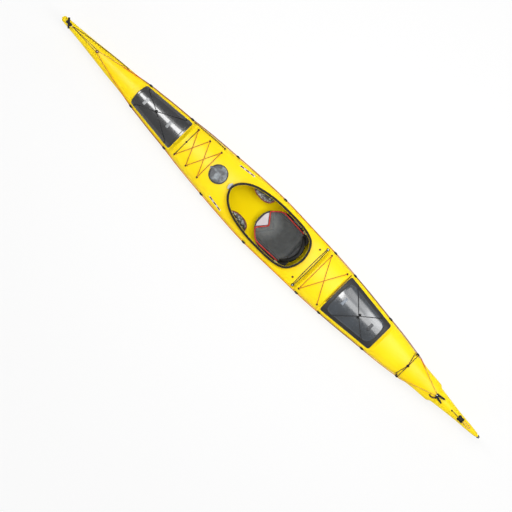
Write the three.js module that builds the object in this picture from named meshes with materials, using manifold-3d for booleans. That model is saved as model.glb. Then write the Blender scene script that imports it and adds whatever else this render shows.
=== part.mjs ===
// Touring sea kayak: hull and deck mouldings, coaming, hatches, seat, footrests and deck rigging.
// Millimetres. +X points to the bow, +Y to port, +Z up. The origin is on the ground under the middle.
// Places along the kayak are given as "aft", the distance from the stem towards the stern.
import * as THREE from "three";
import { mergeVertices } from "three/addons/utils/BufferGeometryUtils.js";
import Module from "manifold-3d";

const wasm = await Module();
wasm.setup();

// Driving dimensions of the shell
const hullLength = 5190;
const beam = 526;
const deckHeight = 295; // keel to the top of the fore deck
const shellWall = 6;
const fitGap = 0.3; // clearance between pieces that touch
const cutOverrun = 30; // how far a cutting solid runs past what it cuts
const stemMaterial = 60; // solid length at the bow, ahead of the hollow
const sternMaterial = 150; // solid length at the stern, behind the hollow

// Bulkheads
const bulkheadThickness = 12;
const bowBulkheadShare = 0.294;
const sternBulkheadSetback = 47; // behind the coaming's aft end

// Cockpit coaming
const cockpitForeShare = 0.4049;
const cockpitLengthShare = 0.176; // of the hull's length
const cockpitWidthShare = 0.8365; // of the beam
const rimWidth = 24;
const rimThickness = 9;
const rimOverhang = 17;
const rimEdge = 3;
const rimLipDrop = 4;
const riserWall = 5;
const riserReach = 100; // rim's top to the lowest part of the riser's blank

// Day hatch, the round one ahead of the cockpit
const dayHatchShare = 0.3752;
const dayHatchRadius = 81;
const dayRingRadius = 88;
const dayRingHeight = 8;
const dayRingBore = 67;
const dayNeckWall = 4;
const dayLidHeight = 17;
const dayLidWall = 4;
const dayLidRound = 7;
const dayTabLength = 22;
const dayTabWidth = 26;
const dayTabThickness = 4;
const podDepth = 150;
const podWall = 3;
const podFlange = 3;

// Hatch frames and lids
const hatchFlangeThickness = 8;
const hatchNeckWall = 4;
const hatchNeckHeight = 13;
const hatchLidWall = 4;
const hatchLidSkirt = 6; // how far the lid's skirt stands outside the neck
const hatchLidEdge = 13; // height of the lid's edge over the flange
const hatchCornerRadius = 20;
// Widths are shares of the beam; the places of ball and cords are shares of the hatch's length.
const bowHatch = {
  foreShare: 0.1782,
  aftShare: 0.284,
  foreWidthShare: 0.399,
  aftWidthShare: 0.593,
  frontBow: 26,
  border: 24,
  innerCorner: 20,
  cornerSteps: 2,
  crown: 8,
  ballShare: 0.45,
  cordShares: [0.12, 0.88],
};
const sternHatch = {
  foreShare: 0.657,
  aftShare: 0.7645,
  foreWidthShare: 0.77,
  aftWidthShare: 0.555,
  frontBow: 6,
  border: 38,
  innerCorner: 70,
  cornerSteps: 3,
  crown: 9,
  ballShare: 0.525,
  cordShares: [0.22, 0.8],
};
const hatchBarWidth = 28;
const hatchBarHeight = 5;
const hatchBarSpan = 74;
const hatchCordRise = 3; // how far the cords stand over the bars
const hatchBarShares = [0.2, 0.74];
const hatchTouchShare = 0.5; // of the way in from an end, where a cord lies on the lid

// Cords
const lineDiameter = 8;
const bungeeDiameter = 6.5;
const thinCordDiameter = 4;
const cordClearance = 0.5; // between a cord and the eye that holds it
const cordLift = 2; // between a deck line and the skin under it
const bungeeLift = 3; // between a taut elastic cord and the skin under it, midway between its bends
const ballRadius = 15;
const beadRadius = 8;

// Deck fittings
const lineFittingRadius = 15;
const lineFittingHeight = 16;
const bungeeFittingRadius = 12;
const bungeeFittingHeight = 12;
const fittingSink = 5; // how far a fitting's blank reaches into the skin before it is trimmed

// Bow toggle
const bowToggleShare = 0.0155;
const togglePlateLength = 64;
const togglePlateWidth = 26;
const togglePlateHeight = 7;
const togglePostRadius = 6;
const togglePostHeight = 22;
const toggleLength = 98;
const toggleRadius = 10;
const toggleWaistRadius = 8;
const toggleTurn = 42; // degrees
const deckLoopShare = 0.083;
const deckLoopRadius = 16;
const deckLoopHeight = 15;

// Stern rigging
const cleatShare = 0.9;
const cleatLength = 84;
const cleatNose = 36; // width at the apex of its V
const cleatWidth = 62; // width over the ends of its arms
const cleatArm = 15;
const cleatNotchLength = 50;
const cleatHeight = 30; // at the apex
const cleatTailHeight = 20; // at the ends of the arms
const sternToggleShare = 0.9585;
const sternToggleLength = 64;
const sternToggleWidth = 58;
const sternToggleTaperShare = 0.8; // width of its aft end
const sternToggleHeight = 34;
const sternToggleRound = 10;
const sternBeadShare = 0.938;
const bracketWidth = 30;
const bracketHeight = 61;
const bracketProud = 18;
const bracketPlate = 5;
const bracketEar = 10;
const bracketPinRadius = 4;
const bracketLowShare = 0.7; // height of the bracket's foot over the keel, of the deck height

// Seat
const seatFromCoaming = 80; // its aft end to the coaming's aft end
const seatLength = 470;
const seatWidth = 396;
const seatWall = 5;
const seatFloor = 34; // top of the seat over the keel at its lowest place
const seatFrontRise = 46;
const seatSideRise = 52;
const seatBackRise = 30;
const seatFrontShare = 0.5; // of the seat's length, over which the front rises
const seatBackShare = 0.25; // of the seat's length, over which the back rises
const seatNoseShare = 0.42; // width of the front lip's flat part
const seatNoseDepthShare = 0.3; // of the seat's length, from the lip to its sides
const seatCorner = 60;
const seatEarLength = 60;
const seatEarHeight = 132; // over the keel
const seatEarThickness = 5;
// Cushion's half outline from the tip of its notch: share of the seat's length behind the lip,
// share of half the seat's width
const cushionShares = [[0.25, 0], [0.08, 0.5], [0.25, 0.9], [0.93, 0.83]];
const cushionThickness = 24;
const cushionCorner = 45;
const cushionNotchRound = 15;
const cushionEdgeShare = 0.4; // thickness at its edge
const channelDepth = 6;
const channelWidth = 14;
const channelInset = 26; // from the cushion's edge to its sewn channel

// Backrest, a part of a ring that stands inside the seat's ears
const backrestSpan = 130; // degrees of arc
const backrestGap = 23; // to the coaming's wall behind it
const backrestLow = 128; // over the keel
const backrestHigh = 246;
const backrestEndDrop = 62;
const backrestShell = 5;
const backrestPad = 38;
const hingePinRadius = 5;
const hingeHeight = 112; // over the keel
const hingeClearance = 0.3;
const backrestArm = 26;

// Thigh braces
const bracePlate = 7;
const braceUnderDeck = 26; // how far it reaches under the deck outside the coaming
const braceFloor = 40; // its lowest part over the seam
const braceForeShare = 0.161; // of the coaming's length
const braceLengthShare = 0.237; // of the coaming's length
// Inner edge: share of the brace's length, share of half the coaming's width
const braceEdgeShares = [
  [0, 0.72], [0.1, 0.62], [0.3, 0.55], [0.55, 0.54], [0.76, 0.58], [0.92, 0.69], [1, 0.9],
];

// Foot braces
const railForeShare = 0.2985;
const railAftShare = 0.366;
const railHeight = 102; // over the keel
const railWidth = 28;
const railThickness = 10;
const railSetback = 21; // between the rail and the hull's side
const railBossRadius = 10;
const railBossInset = 30;
const pedalLength = 34;
const pedalHeight = 90;
const pedalWidth = 66;
const pedalThickness = 12;
const pedalCollar = 5;

// Shapes along the kayak: share of the hull's length, then share of the size named in the comment
const stationShares = [
  0, 0.003, 0.008, 0.016, 0.026, 0.038, 0.055, 0.085, 0.125, 0.168, 0.176, 0.21, 0.25, 0.285, 0.2915, 0.325,
  0.36, 0.395, 0.42, 0.45, 0.475, 0.5, 0.525, 0.55, 0.57, 0.583, 0.5995, 0.606, 0.6525, 0.6565, 0.69, 0.73,
  0.7655, 0.7715, 0.8, 0.83, 0.865, 0.895, 0.9005, 0.93, 0.951, 0.9705, 0.985, 1,
];
// of half the beam
const halfBeamShares = [
  [0, 0.055], [0.0034, 0.1], [0.0187, 0.128], [0.0526, 0.19], [0.0865, 0.266], [0.1204, 0.342],
  [0.1543, 0.403], [0.1882, 0.483], [0.2391, 0.608], [0.29, 0.703], [0.3238, 0.779], [0.3747, 0.863],
  [0.4256, 0.943], [0.4764, 0.995], [0.4934, 1], [0.5103, 0.998], [0.5443, 0.989], [0.578, 0.962],
  [0.612, 0.925], [0.663, 0.86], [0.697, 0.807], [0.731, 0.738], [0.765, 0.668], [0.799, 0.592],
  [0.8325, 0.492], [0.866, 0.407], [0.895, 0.361], [0.9005, 0.293], [0.917, 0.247], [0.951, 0.1635],
  [0.985, 0.103], [1, 0.065],
];
// of the deck height
const ridgeShares = [
  [0, 0.949], [0.005, 0.973], [0.0187, 0.973], [0.0526, 0.956], [0.0916, 0.919], [0.1204, 0.902],
  [0.168, 0.902], [0.176, 0.868], [0.285, 0.868], [0.2915, 0.988], [0.3553, 0.997], [0.395, 0.95],
  [0.42, 0.925], [0.47, 0.905], [0.53, 0.85], [0.57, 0.8], [0.583, 0.766], [0.5995, 0.766], [0.606, 0.99],
  [0.6525, 1], [0.6565, 0.905], [0.7655, 0.905], [0.7715, 0.98], [0.8, 0.976], [0.9, 0.967], [1, 0.966],
];
const seamShares = [
  [0, 0.9], [0.02, 0.8], [0.055, 0.71], [0.1, 0.65], [0.18, 0.6], [0.27, 0.57], [0.37, 0.56],
  [0.487, 0.56], [0.62, 0.6], [0.67, 0.61], [0.77, 0.645], [0.845, 0.685], [0.897, 0.71], [0.95, 0.74],
  [1, 0.78],
];
const keelShares = [
  [0, 0.83], [0.002, 0.77], [0.006, 0.644], [0.013, 0.481], [0.02, 0.373], [0.027, 0.288], [0.034, 0.217],
  [0.041, 0.17], [0.055, 0.108], [0.075, 0.079], [0.153, 0.051], [0.237, 0.0356], [0.372, 0.018],
  [0.45, 0], [0.55, 0], [0.625, 0.0356], [0.695, 0.078], [0.765, 0.112], [0.827, 0.1525], [0.896, 0.207],
  [0.967, 0.244], [0.9705, 0.25], [0.985, 0.44], [1, 0.658],
];
const rimHeightShares = [
  [0.4, 1.076], [0.409, 1.075], [0.45, 1.045], [0.507, 0.99], [0.527, 0.945], [0.56, 0.93], [0.581, 0.925],
];
// How full the hull's section is: 0 for a deep V, 1 for a round bilge
const fullnessShares = [
  [0, 0], [0.05, 0.05], [0.25, 0.7], [0.4, 1], [0.62, 1], [0.8, 0.7], [0.9, 0.4], [1, 0.1],
];
// Hull sections from the seam to the keel: share of the half beam, share of the height
const roundHullShares = [[1, 1], [0.965, 0.5], [0.885, 0.24], [0.7, 0.075], [0.32, 0], [0, 0]];
const veeHullShares = [[1, 1], [0.86, 0.68], [0.68, 0.42], [0.45, 0.2], [0.22, 0.06], [0, 0]];
const hollowRowShares = [0, 1 / 5, 2 / 5, 3 / 5, 1]; // rows of the sections above that the hollow keeps
// Deck section: places across as shares of the half beam, and the powers of its rounded crown
const deckAcrossShares = [1, 0.985, 0.93, 0.8, 0.56, 0.28, 0];
const hollowAcrossShares = [1, 0.97, 0.88, 0.6, 0];
const crownPower = 2.2;
const crownRoundness = 0.345;

// Coaming's half outline: share of its length, share of its half width
const coamingShares = [
  [0, 0], [0.0166, 0.24], [0.0506, 0.44], [0.104, 0.62], [0.17, 0.76], [0.25, 0.86], [0.338, 0.932],
  [0.435, 0.98], [0.552, 1], [0.698, 0.992], [0.776, 0.972], [0.854, 0.905], [0.917, 0.79], [0.966, 0.545],
  [1, 0],
];
// Deck line fittings on each side: share of the hull's length, share of the deck height
const lineFittingShares = [
  [0.1882, 0.7], [0.278, 0.68], [0.378, 0.66], [0.4866, 0.66], [0.6104, 0.7], [0.6612, 0.69],
  [0.756, 0.72], [0.8308, 0.755],
];
// The line's run from the bow loop to the first fitting, and from the last one to the cleat:
// share of the hull's length, share of the half beam there
const lineBowShares = [[0.0845, 0.16], [0.11, 0.5], [0.145, 0.8]];
const lineSternShares = [
  [0.8385, 0.97], [0.845, 0.92], [0.851, 0.85], [0.8575, 0.77], [0.866, 0.66], [0.877, 0.5], [0.892, 0.24],
  [0.9015, 0.11],
];
// The thin cord from the bow toggle's plate to the loop, and the stern toggle's own line with the
// loop behind it: share of the hull's length, share of the half beam there
const bowCordShares = [[0.0228, 0.04], [0.04, 0.05], [0.052, 0.1], [0.082, 0.14]];
const sternCordShares = [
  [0.938, 0], [0.95, 0], [0.9585, 0], [0.967, 0.22], [0.976, 0.26], [0.9815, 0], [0.976, -0.26],
  [0.967, -0.22],
];
// Bungee eyes: share of the hull's length, share of the half beam there
const foreEyeShares = [[0.2985, 0.79], [0.3256, 0.73], [0.3532, 0.7]];
const aftEyeShares = [[0.6087, 0.83], [0.6495, 0.81]];
const paddleEyeShares = [[0.597, 0.88]];
const crossEyeShares = [[0.829, 0.84]];
const crossBallShare = 0.8317;
const bossShares = [[1, 0], [1, 0.5], [0.65, 1]];
const loopTurnShares = [-1, -0.5, 0, 0.5, 1]; // places along one strand of a loop of cord
const lineSpanShares = [0.25, 0.5, 0.75]; // places between two fittings where a line is held off the deck
const leastSlopeShare = 0.4; // of the skin's outward lean, where a line is moved off it

const roundSides = 12;
const bossSides = 8;
const lineFittingSides = 6;
const tubeSides = 6;
const hatchSides = 18;

// Colours of the finishes
const finishes = {
  yellow: [0xfce214, 0.28, 0],
  black: [0x17181a, 0.45, 0],
  blackGloss: [0x1b1c1f, 0.2, 0],
  grey: [0x55585c, 0.3, 0],
  cord: [0x9c3c10, 0.8, 0],
  paleCord: [0xd8d4c8, 0.8, 0],
  fabric: [0x8d9094, 0.9, 0],
  rubber: [0x222222, 0.8, 0],
  metal: [0xa8abb0, 0.35, 0.9],
  foam: [0x303236, 0.9, 0],
};

const kayak = new THREE.Group();
const overallLength = hullLength + bracketProud;
const cockpitLength = cockpitLengthShare * hullLength;
const cockpitWidth = cockpitWidthShare * beam;
const braceLength = braceLengthShare * cockpitLength;
const backrestRadius = seatWidth / 2 - seatEarThickness - hingeClearance - backrestShell;

// Place helpers

function xAt(aft) {
  return overallLength / 2 - aft;
}

function aftOf(share) {
  return share * hullLength;
}

// A smooth curve through a table of pairs, without overshoot between them.
function smoothTable(pairShares) {
  const xs = pairShares.map(([x]) => x);
  const ys = pairShares.map(([, y]) => y);
  const rises = xs.slice(1).map((x, i) => (ys[i + 1] - ys[i]) / (x - xs[i]));
  const slopes = xs.map((_, i) => {
    if (i === 0 || i === xs.length - 1) return rises[Math.min(i, rises.length - 1)];
    const [before, after] = [rises[i - 1], rises[i]];
    return before * after <= 0 ? 0 : (2 * before * after) / (before + after);
  });
  return (share) => {
    const x = THREE.MathUtils.clamp(share, xs[0], xs[xs.length - 1]);
    let i = 0;
    while (i < xs.length - 2 && x > xs[i + 1]) i += 1;
    const span = xs[i + 1] - xs[i];
    const u = (x - xs[i]) / span;
    const low = (1 + 2 * u) * (1 - u) ** 2 * ys[i] + u * (1 - u) ** 2 * span * slopes[i];
    const high = u ** 2 * (3 - 2 * u) * ys[i + 1] + u ** 2 * (u - 1) * span * slopes[i + 1];
    return low + high;
  };
}

const halfBeamCurve = smoothTable(halfBeamShares);
const ridgeCurve = smoothTable(ridgeShares);
const seamCurve = smoothTable(seamShares);
const keelCurve = smoothTable(keelShares);
const fullnessCurve = smoothTable(fullnessShares);
const rimCurve = smoothTable(rimHeightShares);

function halfBeamAt(aft) {
  return (halfBeamCurve(aft / hullLength) * beam) / 2;
}

function ridgeAt(aft) {
  return ridgeCurve(aft / hullLength) * deckHeight;
}

function seamAt(aft) {
  return seamCurve(aft / hullLength) * deckHeight;
}

function keelAt(aft) {
  return keelCurve(aft / hullLength) * deckHeight;
}

function cockpitFore() {
  return aftOf(cockpitForeShare);
}

function cockpitAft() {
  return cockpitFore() + cockpitLength;
}

function rimAt(aft) {
  return rimCurve(aft / hullLength) * deckHeight;
}

// Height of the deck's crown over its seam, as a share, at a share of the half beam.
function crownAt(acrossShare) {
  return Math.max(1 - Math.abs(acrossShare) ** crownPower, 0) ** crownRoundness;
}

function deckAt(aft, y) {
  const seam = seamAt(aft);
  return seam + (ridgeAt(aft) - seam) * crownAt(y / halfBeamAt(aft));
}

// The half width of the deck where its skin passes a height.
function deckSideAt(aft, z) {
  const seam = seamAt(aft);
  const rise = THREE.MathUtils.clamp((z - seam) / (ridgeAt(aft) - seam), 0, 1);
  return halfBeamAt(aft) * (1 - rise ** (1 / crownRoundness)) ** (1 / crownPower);
}

// Solid helpers

function solidFrom(geometry) {
  const bare = geometry.clone();
  for (const name of Object.keys(bare.attributes)) if (name !== "position") bare.deleteAttribute(name);
  const merged = mergeVertices(bare);
  const kept = [];
  const index = merged.index.array;
  for (let i = 0; i < index.length; i += 3) {
    const [a, b, c] = index.slice(i, i + 3);
    if (a !== b && b !== c && a !== c) kept.push(a, b, c);
  }
  const make = (triVerts) =>
    new wasm.Manifold(
      new wasm.Mesh({
        numProp: 3,
        vertProperties: new Float32Array(merged.attributes.position.array),
        triVerts: new Uint32Array(triVerts),
      }),
    );
  const solid = make(kept);
  if (solid.volume() >= 0) return solid;
  for (let i = 0; i < kept.length; i += 3) [kept[i + 1], kept[i + 2]] = [kept[i + 2], kept[i + 1]];
  return make(kept);
}

function geometryFrom(solid) {
  const mesh = solid.getMesh();
  const positions = new Float32Array(mesh.numVert * 3);
  for (let i = 0; i < mesh.numVert; i += 1) {
    const start = i * mesh.numProp;
    positions.set(mesh.vertProperties.subarray(start, start + 3), i * 3);
  }
  const geometry = new THREE.BufferGeometry();
  geometry.setAttribute("position", new THREE.BufferAttribute(positions, 3));
  geometry.setIndex(new THREE.BufferAttribute(new Uint32Array(mesh.triVerts), 1));
  geometry.computeVertexNormals();
  return geometry;
}

function addPart(name, solid, finish) {
  const [color, roughness, metalness] = finishes[finish];
  const material = new THREE.MeshStandardMaterial({ color, roughness, metalness });
  const mesh = new THREE.Mesh(geometryFrom(solid), material);
  mesh.name = name;
  kayak.add(mesh);
}

function joined(solids) {
  return solids.reduce((sum, solid) => sum.add(solid));
}

function placed(solid, matrix) {
  const geometry = geometryFrom(solid);
  geometry.applyMatrix4(matrix);
  return solidFrom(geometry);
}

function movedTo(solid, x, y, z) {
  return placed(solid, new THREE.Matrix4().makeTranslation(x, y, z));
}

// A solid through a row of rings that all have the same number of points, closed by flat ends.
function loft(rings) {
  const count = rings[0].length;
  const positions = rings.flat().flatMap((point) => [point.x, point.y, point.z]);
  const index = [];
  for (let i = 0; i < rings.length - 1; i += 1) {
    for (let j = 0; j < count; j += 1) {
      const a = i * count + j;
      const b = i * count + ((j + 1) % count);
      index.push(a, b, b + count, a, b + count, a + count);
    }
  }
  for (const [ring, start, sign] of [[rings[0], 0, -1], [rings.at(-1), (rings.length - 1) * count, 1]]) {
    index.push(...capOf(ring, start, sign));
  }
  const geometry = new THREE.BufferGeometry();
  geometry.setAttribute("position", new THREE.Float32BufferAttribute(positions, 3));
  geometry.setIndex(index);
  return solidFrom(geometry);
}

// Triangles over one flat end ring, turned so that they close the loft.
function capOf(ring, start, sign) {
  const normal = new THREE.Vector3();
  const centre = ring.reduce((sum, point) => sum.add(point), new THREE.Vector3()).divideScalar(ring.length);
  ring.forEach((point, i) => {
    const next = ring[(i + 1) % ring.length];
    normal.add(point.clone().sub(centre).cross(next.clone().sub(centre)));
  });
  normal.normalize();
  const across = new THREE.Vector3(0, 0, 1).cross(normal);
  if (across.length() < 0.5) across.set(0, 1, 0).cross(normal);
  across.normalize();
  const up = normal.clone().cross(across);
  const flat = ring.map((point) => {
    const offset = point.clone().sub(centre);
    return new THREE.Vector2(offset.dot(across), offset.dot(up));
  });
  return THREE.ShapeUtils.triangulateShape(flat, []).flatMap(([a, b, c]) => {
    const ab = flat[b].clone().sub(flat[a]);
    const turn = Math.sign(ab.cross(flat[c].clone().sub(flat[a])));
    return turn === sign ? [start + a, start + b, start + c] : [start + a, start + c, start + b];
  });
}

// An upright prism over an outline of x and y points.
function prism(outline, low, high) {
  const shape = new THREE.Shape(outline);
  const geometry = new THREE.ExtrudeGeometry(shape, { depth: high - low, bevelEnabled: false });
  geometry.translate(0, 0, low);
  return solidFrom(geometry);
}

function boxBetween(low, high) {
  const size = high.clone().sub(low);
  const middle = high.clone().add(low).multiplyScalar(1 / 2);
  const geometry = new THREE.BoxGeometry(size.x, size.y, size.z);
  geometry.translate(middle.x, middle.y, middle.z);
  return solidFrom(geometry);
}

// A body turned round the Z axis from a profile of radius and height points.
function turned(profile, sides) {
  const points = profile.map(([radius, height]) => new THREE.Vector2(radius, height));
  const geometry = new THREE.LatheGeometry(points, sides);
  geometry.rotateX(Math.PI / 2);
  return solidFrom(geometry);
}

function roundSection(radius, sides) {
  const points = [];
  for (let i = 0; i < sides; i += 1) {
    const angle = ((i + 1 / 2) * 2 * Math.PI) / sides;
    points.push(new THREE.Vector2(radius * Math.cos(angle), radius * Math.sin(angle)));
  }
  return new THREE.Shape(points);
}

function tube(points, radius, steps) {
  const extrudePath = new THREE.CatmullRomCurve3(points, false, "centripetal");
  const section = roundSection(radius, tubeSides);
  return solidFrom(new THREE.ExtrudeGeometry(section, { steps, bevelEnabled: false, extrudePath }));
}

function rod(from, to, radius, sides = roundSides) {
  const extrudePath = new THREE.LineCurve3(from, to);
  const section = roundSection(radius, sides);
  return solidFrom(new THREE.ExtrudeGeometry(section, { steps: 1, bevelEnabled: false, extrudePath }));
}

function ball(centre, radius) {
  const geometry = new THREE.SphereGeometry(radius, bossSides, bossSides - 2);
  geometry.translate(centre.x, centre.y, centre.z);
  return solidFrom(geometry);
}

// A block whose top follows a height over x and y, standing on one level.
function heightBlock(low, high, floor, columns, rows, topAt) {
  const rings = [];
  for (let i = 0; i <= columns; i += 1) {
    const x = THREE.MathUtils.lerp(low.x, high.x, i / columns);
    const ring = [];
    for (let j = 0; j <= rows; j += 1) {
      const y = THREE.MathUtils.lerp(low.y, high.y, j / rows);
      ring.push(new THREE.Vector3(x, y, topAt(x, y)));
    }
    ring.push(new THREE.Vector3(x, high.y, floor));
    ring.push(new THREE.Vector3(x, low.y, floor));
    rings.push(ring);
  }
  return loft(rings);
}

// A polygon whose corners are rounded, each by its own radius.
function roundedOutline(corners, steps = 3) {
  const outline = [];
  corners.forEach((corner, i) => {
    const before = corners[(i + corners.length - 1) % corners.length];
    const after = corners[(i + 1) % corners.length];
    const point = new THREE.Vector2(corner.x, corner.y);
    const start = new THREE.Vector2(before.x, before.y).sub(point).setLength(corner.r).add(point);
    const end = new THREE.Vector2(after.x, after.y).sub(point).setLength(corner.r).add(point);
    const bend = new THREE.QuadraticBezierCurve(start, point, end);
    outline.push(...bend.getPoints(steps));
  });
  return outline;
}

// Shell volumes

function mirroredSection(halfPoints) {
  const starboard = halfPoints.slice(0, -1).reverse();
  return [...halfPoints, ...starboard.map(([y, z]) => [-y, z])];
}

function deckRing(aft, inset, floorDrop) {
  const half = halfBeamAt(aft) - inset;
  const base = seamAt(aft) + fitGap;
  const rise = ridgeAt(aft) - inset - base;
  const across = inset > 0 ? hollowAcrossShares : deckAcrossShares;
  const section = mirroredSection(across.map((share) => [share * half, base + rise * crownAt(share)]));
  const floor = floorDrop ? [[-half, base - floorDrop], [half, base - floorDrop]] : [];
  return [...section, ...floor].map(([y, z]) => new THREE.Vector3(xAt(aft), y, z));
}

function hullRing(aft, inset, topRise) {
  const half = halfBeamAt(aft) - inset;
  const seam = seamAt(aft);
  const bottom = keelAt(aft) + inset;
  const fullness = fullnessCurve(aft / hullLength);
  const rows = veeHullShares.map(([y, z], i) => [
    THREE.MathUtils.lerp(y, roundHullShares[i][0], fullness),
    THREE.MathUtils.lerp(z, roundHullShares[i][1], fullness),
  ]);
  const last = rows.length - 1;
  const shares = inset > 0 ? hollowRowShares.map((share) => rows[Math.round(share * last)]) : rows;
  const section = mirroredSection(shares.map(([y, z]) => [y * half, bottom + (seam - bottom) * z]));
  const top = topRise ? [[-half, seam + topRise], [half, seam + topRise]] : [];
  return [...section, ...top].map(([y, z]) => new THREE.Vector3(xAt(aft), y, z));
}

function stationsBetween(from, to) {
  const inside = stationShares.map(aftOf).filter((aft) => aft > from && aft < to);
  return [from, ...inside, to];
}

function deckVolume(inset, floorDrop = 0, from = 0, to = hullLength) {
  return loft(stationsBetween(from, to).map((aft) => deckRing(aft, inset, floorDrop)));
}

function hullVolume(inset, topRise = 0, from = 0, to = hullLength) {
  return loft(stationsBetween(from, to).map((aft) => hullRing(aft, inset, topRise)));
}

// The hollow inside the shell, drawn in by a clearance.
function interior(clearance, from = stemMaterial, to = hullLength - sternMaterial) {
  const inset = shellWall + clearance;
  return hullVolume(inset, fitGap, from, to).add(deckVolume(inset, fitGap, from, to));
}

const deckSkin = deckVolume(-fitGap);
const hold = interior(fitGap);

// What is left of a piece once the deck under it is taken away with a small gap.
function seated(solid) {
  return solid.subtract(deckSkin);
}

// A piece of even thickness that follows the deck inside an upright prism.
function deckLayer(outlineSolid, low, high) {
  return outlineSolid.intersect(deckVolume(-high)).subtract(deckVolume(-low));
}

// Hull and deck

function makeHull() {
  const hollow = hullVolume(shellWall, cutOverrun, stemMaterial, hullLength - sternMaterial);
  return hullVolume(0).subtract(hollow);
}

function coamingOutline(inset) {
  const sides = [1, -1].map((side) =>
    coamingShares.map(([along, across]) => {
      const x = xAt(cockpitFore() + along * cockpitLength);
      return new THREE.Vector3(x, (side * across * cockpitWidth) / 2, 0);
    }),
  );
  const loop = [...sides[0], ...sides[1].slice(1, -1).reverse()];
  const curve = new THREE.CatmullRomCurve3(loop, true, "centripetal");
  const count = 40;
  const points = curve.getSpacedPoints(count).slice(0, count);
  const turn = Math.sign(THREE.ShapeUtils.area(points));
  return points.map((point, i) => {
    const next = points[(i + 1) % count];
    const before = points[(i + count - 1) % count];
    const along = next.clone().sub(before).normalize();
    const outward = new THREE.Vector2(along.y * turn, -along.x * turn);
    return { point: new THREE.Vector2(point.x, point.y).addScaledVector(outward, -inset), outward };
  });
}

function outlinePrism(outline, low, high) {
  return prism(outline.map(({ point }) => point), low, high);
}

// The upright wall under the coaming's rim, from inside the shell up to the rim.
function makeRiser() {
  const rings = coamingOutline(0).map(({ point, outward }) => {
    const top = rimAt(xAt(0) - point.x) - rimThickness - fitGap;
    const low = top - riserReach;
    const corners = [
      [-rimOverhang - riserWall, low],
      [-rimOverhang, low],
      [-rimOverhang, top],
      [-rimOverhang - riserWall, top],
    ];
    return corners.map(([out, z]) => {
      return new THREE.Vector3(point.x + outward.x * out, point.y + outward.y * out, z);
    });
  });
  return closedLoft(rings);
}

function hatchHalves(hatch, inset) {
  return [hatch.foreWidthShare, hatch.aftWidthShare].map((share) => (share * beam) / 2 - inset);
}

function hatchOutline(hatch, inset) {
  const fore = xAt(aftOf(hatch.foreShare)) - inset;
  const aft = xAt(aftOf(hatch.aftShare)) + inset;
  const [halfFore, halfAft] = hatchHalves(hatch, inset);
  const corner = inset > 0 ? hatch.innerCorner : hatchCornerRadius;
  const middle = halfFore - corner - hatchNeckWall;
  return roundedOutline([
    { x: fore, y: 0, r: middle },
    { x: fore - hatch.frontBow, y: -halfFore, r: corner },
    { x: aft, y: -halfAft, r: corner },
    { x: aft, y: halfAft, r: corner },
    { x: fore - hatch.frontBow, y: halfFore, r: corner },
  ], hatch.cornerSteps);
}

function hatchPrism(hatch, inset) {
  const low = Math.max(seamAt(aftOf(hatch.foreShare)), seamAt(aftOf(hatch.aftShare))) + cutOverrun;
  return prism(hatchOutline(hatch, inset), low, deckHeight + cutOverrun);
}

function dayHatchX() {
  return xAt(aftOf(dayHatchShare));
}

function dayHatchTop() {
  return deckAt(aftOf(dayHatchShare), 0);
}

function makeDeck() {
  const hollow = deckVolume(shellWall, cutOverrun, stemMaterial, hullLength - sternMaterial);
  const cockpit = outlinePrism(coamingOutline(rimOverhang + riserWall), 0, deckHeight + 2 * cutOverrun);
  const dayHole = rod(
    new THREE.Vector3(dayHatchX(), 0, seamAt(aftOf(dayHatchShare))),
    new THREE.Vector3(dayHatchX(), 0, deckHeight + cutOverrun),
    dayRingBore + dayNeckWall + fitGap,
    hatchSides,
  );
  let deck = joined([deckVolume(0), makeRiser(), ...bungeeEyes()]).subtract(hollow);
  for (const hatch of [bowHatch, sternHatch]) deck = deck.subtract(hatchPrism(hatch, hatch.border - fitGap));
  return deck.subtract(cockpit).subtract(dayHole);
}

// Points over the deck, and cords that run between them

function onDeck(share, acrossShare, lift) {
  const aft = aftOf(share);
  const y = acrossShare * halfBeamAt(aft);
  const step = shellWall;
  const slope = (deckAt(aft, y + step) - deckAt(aft, y - step)) / (2 * step);
  const normal = new THREE.Vector3(0, -slope, 1).normalize();
  return {
    point: new THREE.Vector3(xAt(aft), y, deckAt(aft, y)).addScaledVector(normal, lift),
    normal,
  };
}

// A taut run over the deck between two places, with points between that clear the skin.
function deckRun(from, to, lift, pieces = 8) {
  const points = [];
  for (let i = 0; i <= pieces; i += 1) {
    const share = THREE.MathUtils.lerp(from[0], to[0], i / pieces);
    const across = THREE.MathUtils.lerp(from[1], to[1], i / pieces);
    points.push(onDeck(share, across, lift).point);
  }
  return points;
}

// A low rounded boss with its foot in the skin, its axis along the skin's normal.
function capBlank(radius, height, sides) {
  const profile = bossShares.map(([r, h]) => [r * radius, h * (height + fittingSink)]);
  return turned([[0, 0], ...profile, [0, height + fittingSink]], sides);
}

function onNormal(solid, { point, normal }) {
  const turn = new THREE.Quaternion().setFromUnitVectors(new THREE.Vector3(0, 0, 1), normal);
  const foot = point.clone().addScaledVector(normal, -fittingSink);
  return placed(solid, new THREE.Matrix4().compose(foot, turn, new THREE.Vector3(1, 1, 1)));
}

// A boss with a mouth on its inboard side, where the cords that it holds meet.
function eyeSolid(share, acrossShare) {
  const side = Math.sign(acrossShare);
  const reach = bungeeDiameter / 2 + cordClearance;
  const middle = fittingSink + bungeeDiameter / 2 + bungeeLift;
  const sides = [side * (reach + 4 * cordClearance), -side * 2 * bungeeFittingRadius];
  const mouth = boxBetween(
    new THREE.Vector3(-2 * bungeeFittingRadius, Math.min(...sides), 0),
    new THREE.Vector3(2 * bungeeFittingRadius, Math.max(...sides), middle + reach),
  );
  const blank = capBlank(bungeeFittingRadius, bungeeFittingHeight, bossSides);
  return onNormal(blank.subtract(mouth), onDeck(share, acrossShare, 0));
}

function bothSides([share, across]) {
  return [[share, across], [share, -across]];
}

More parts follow.
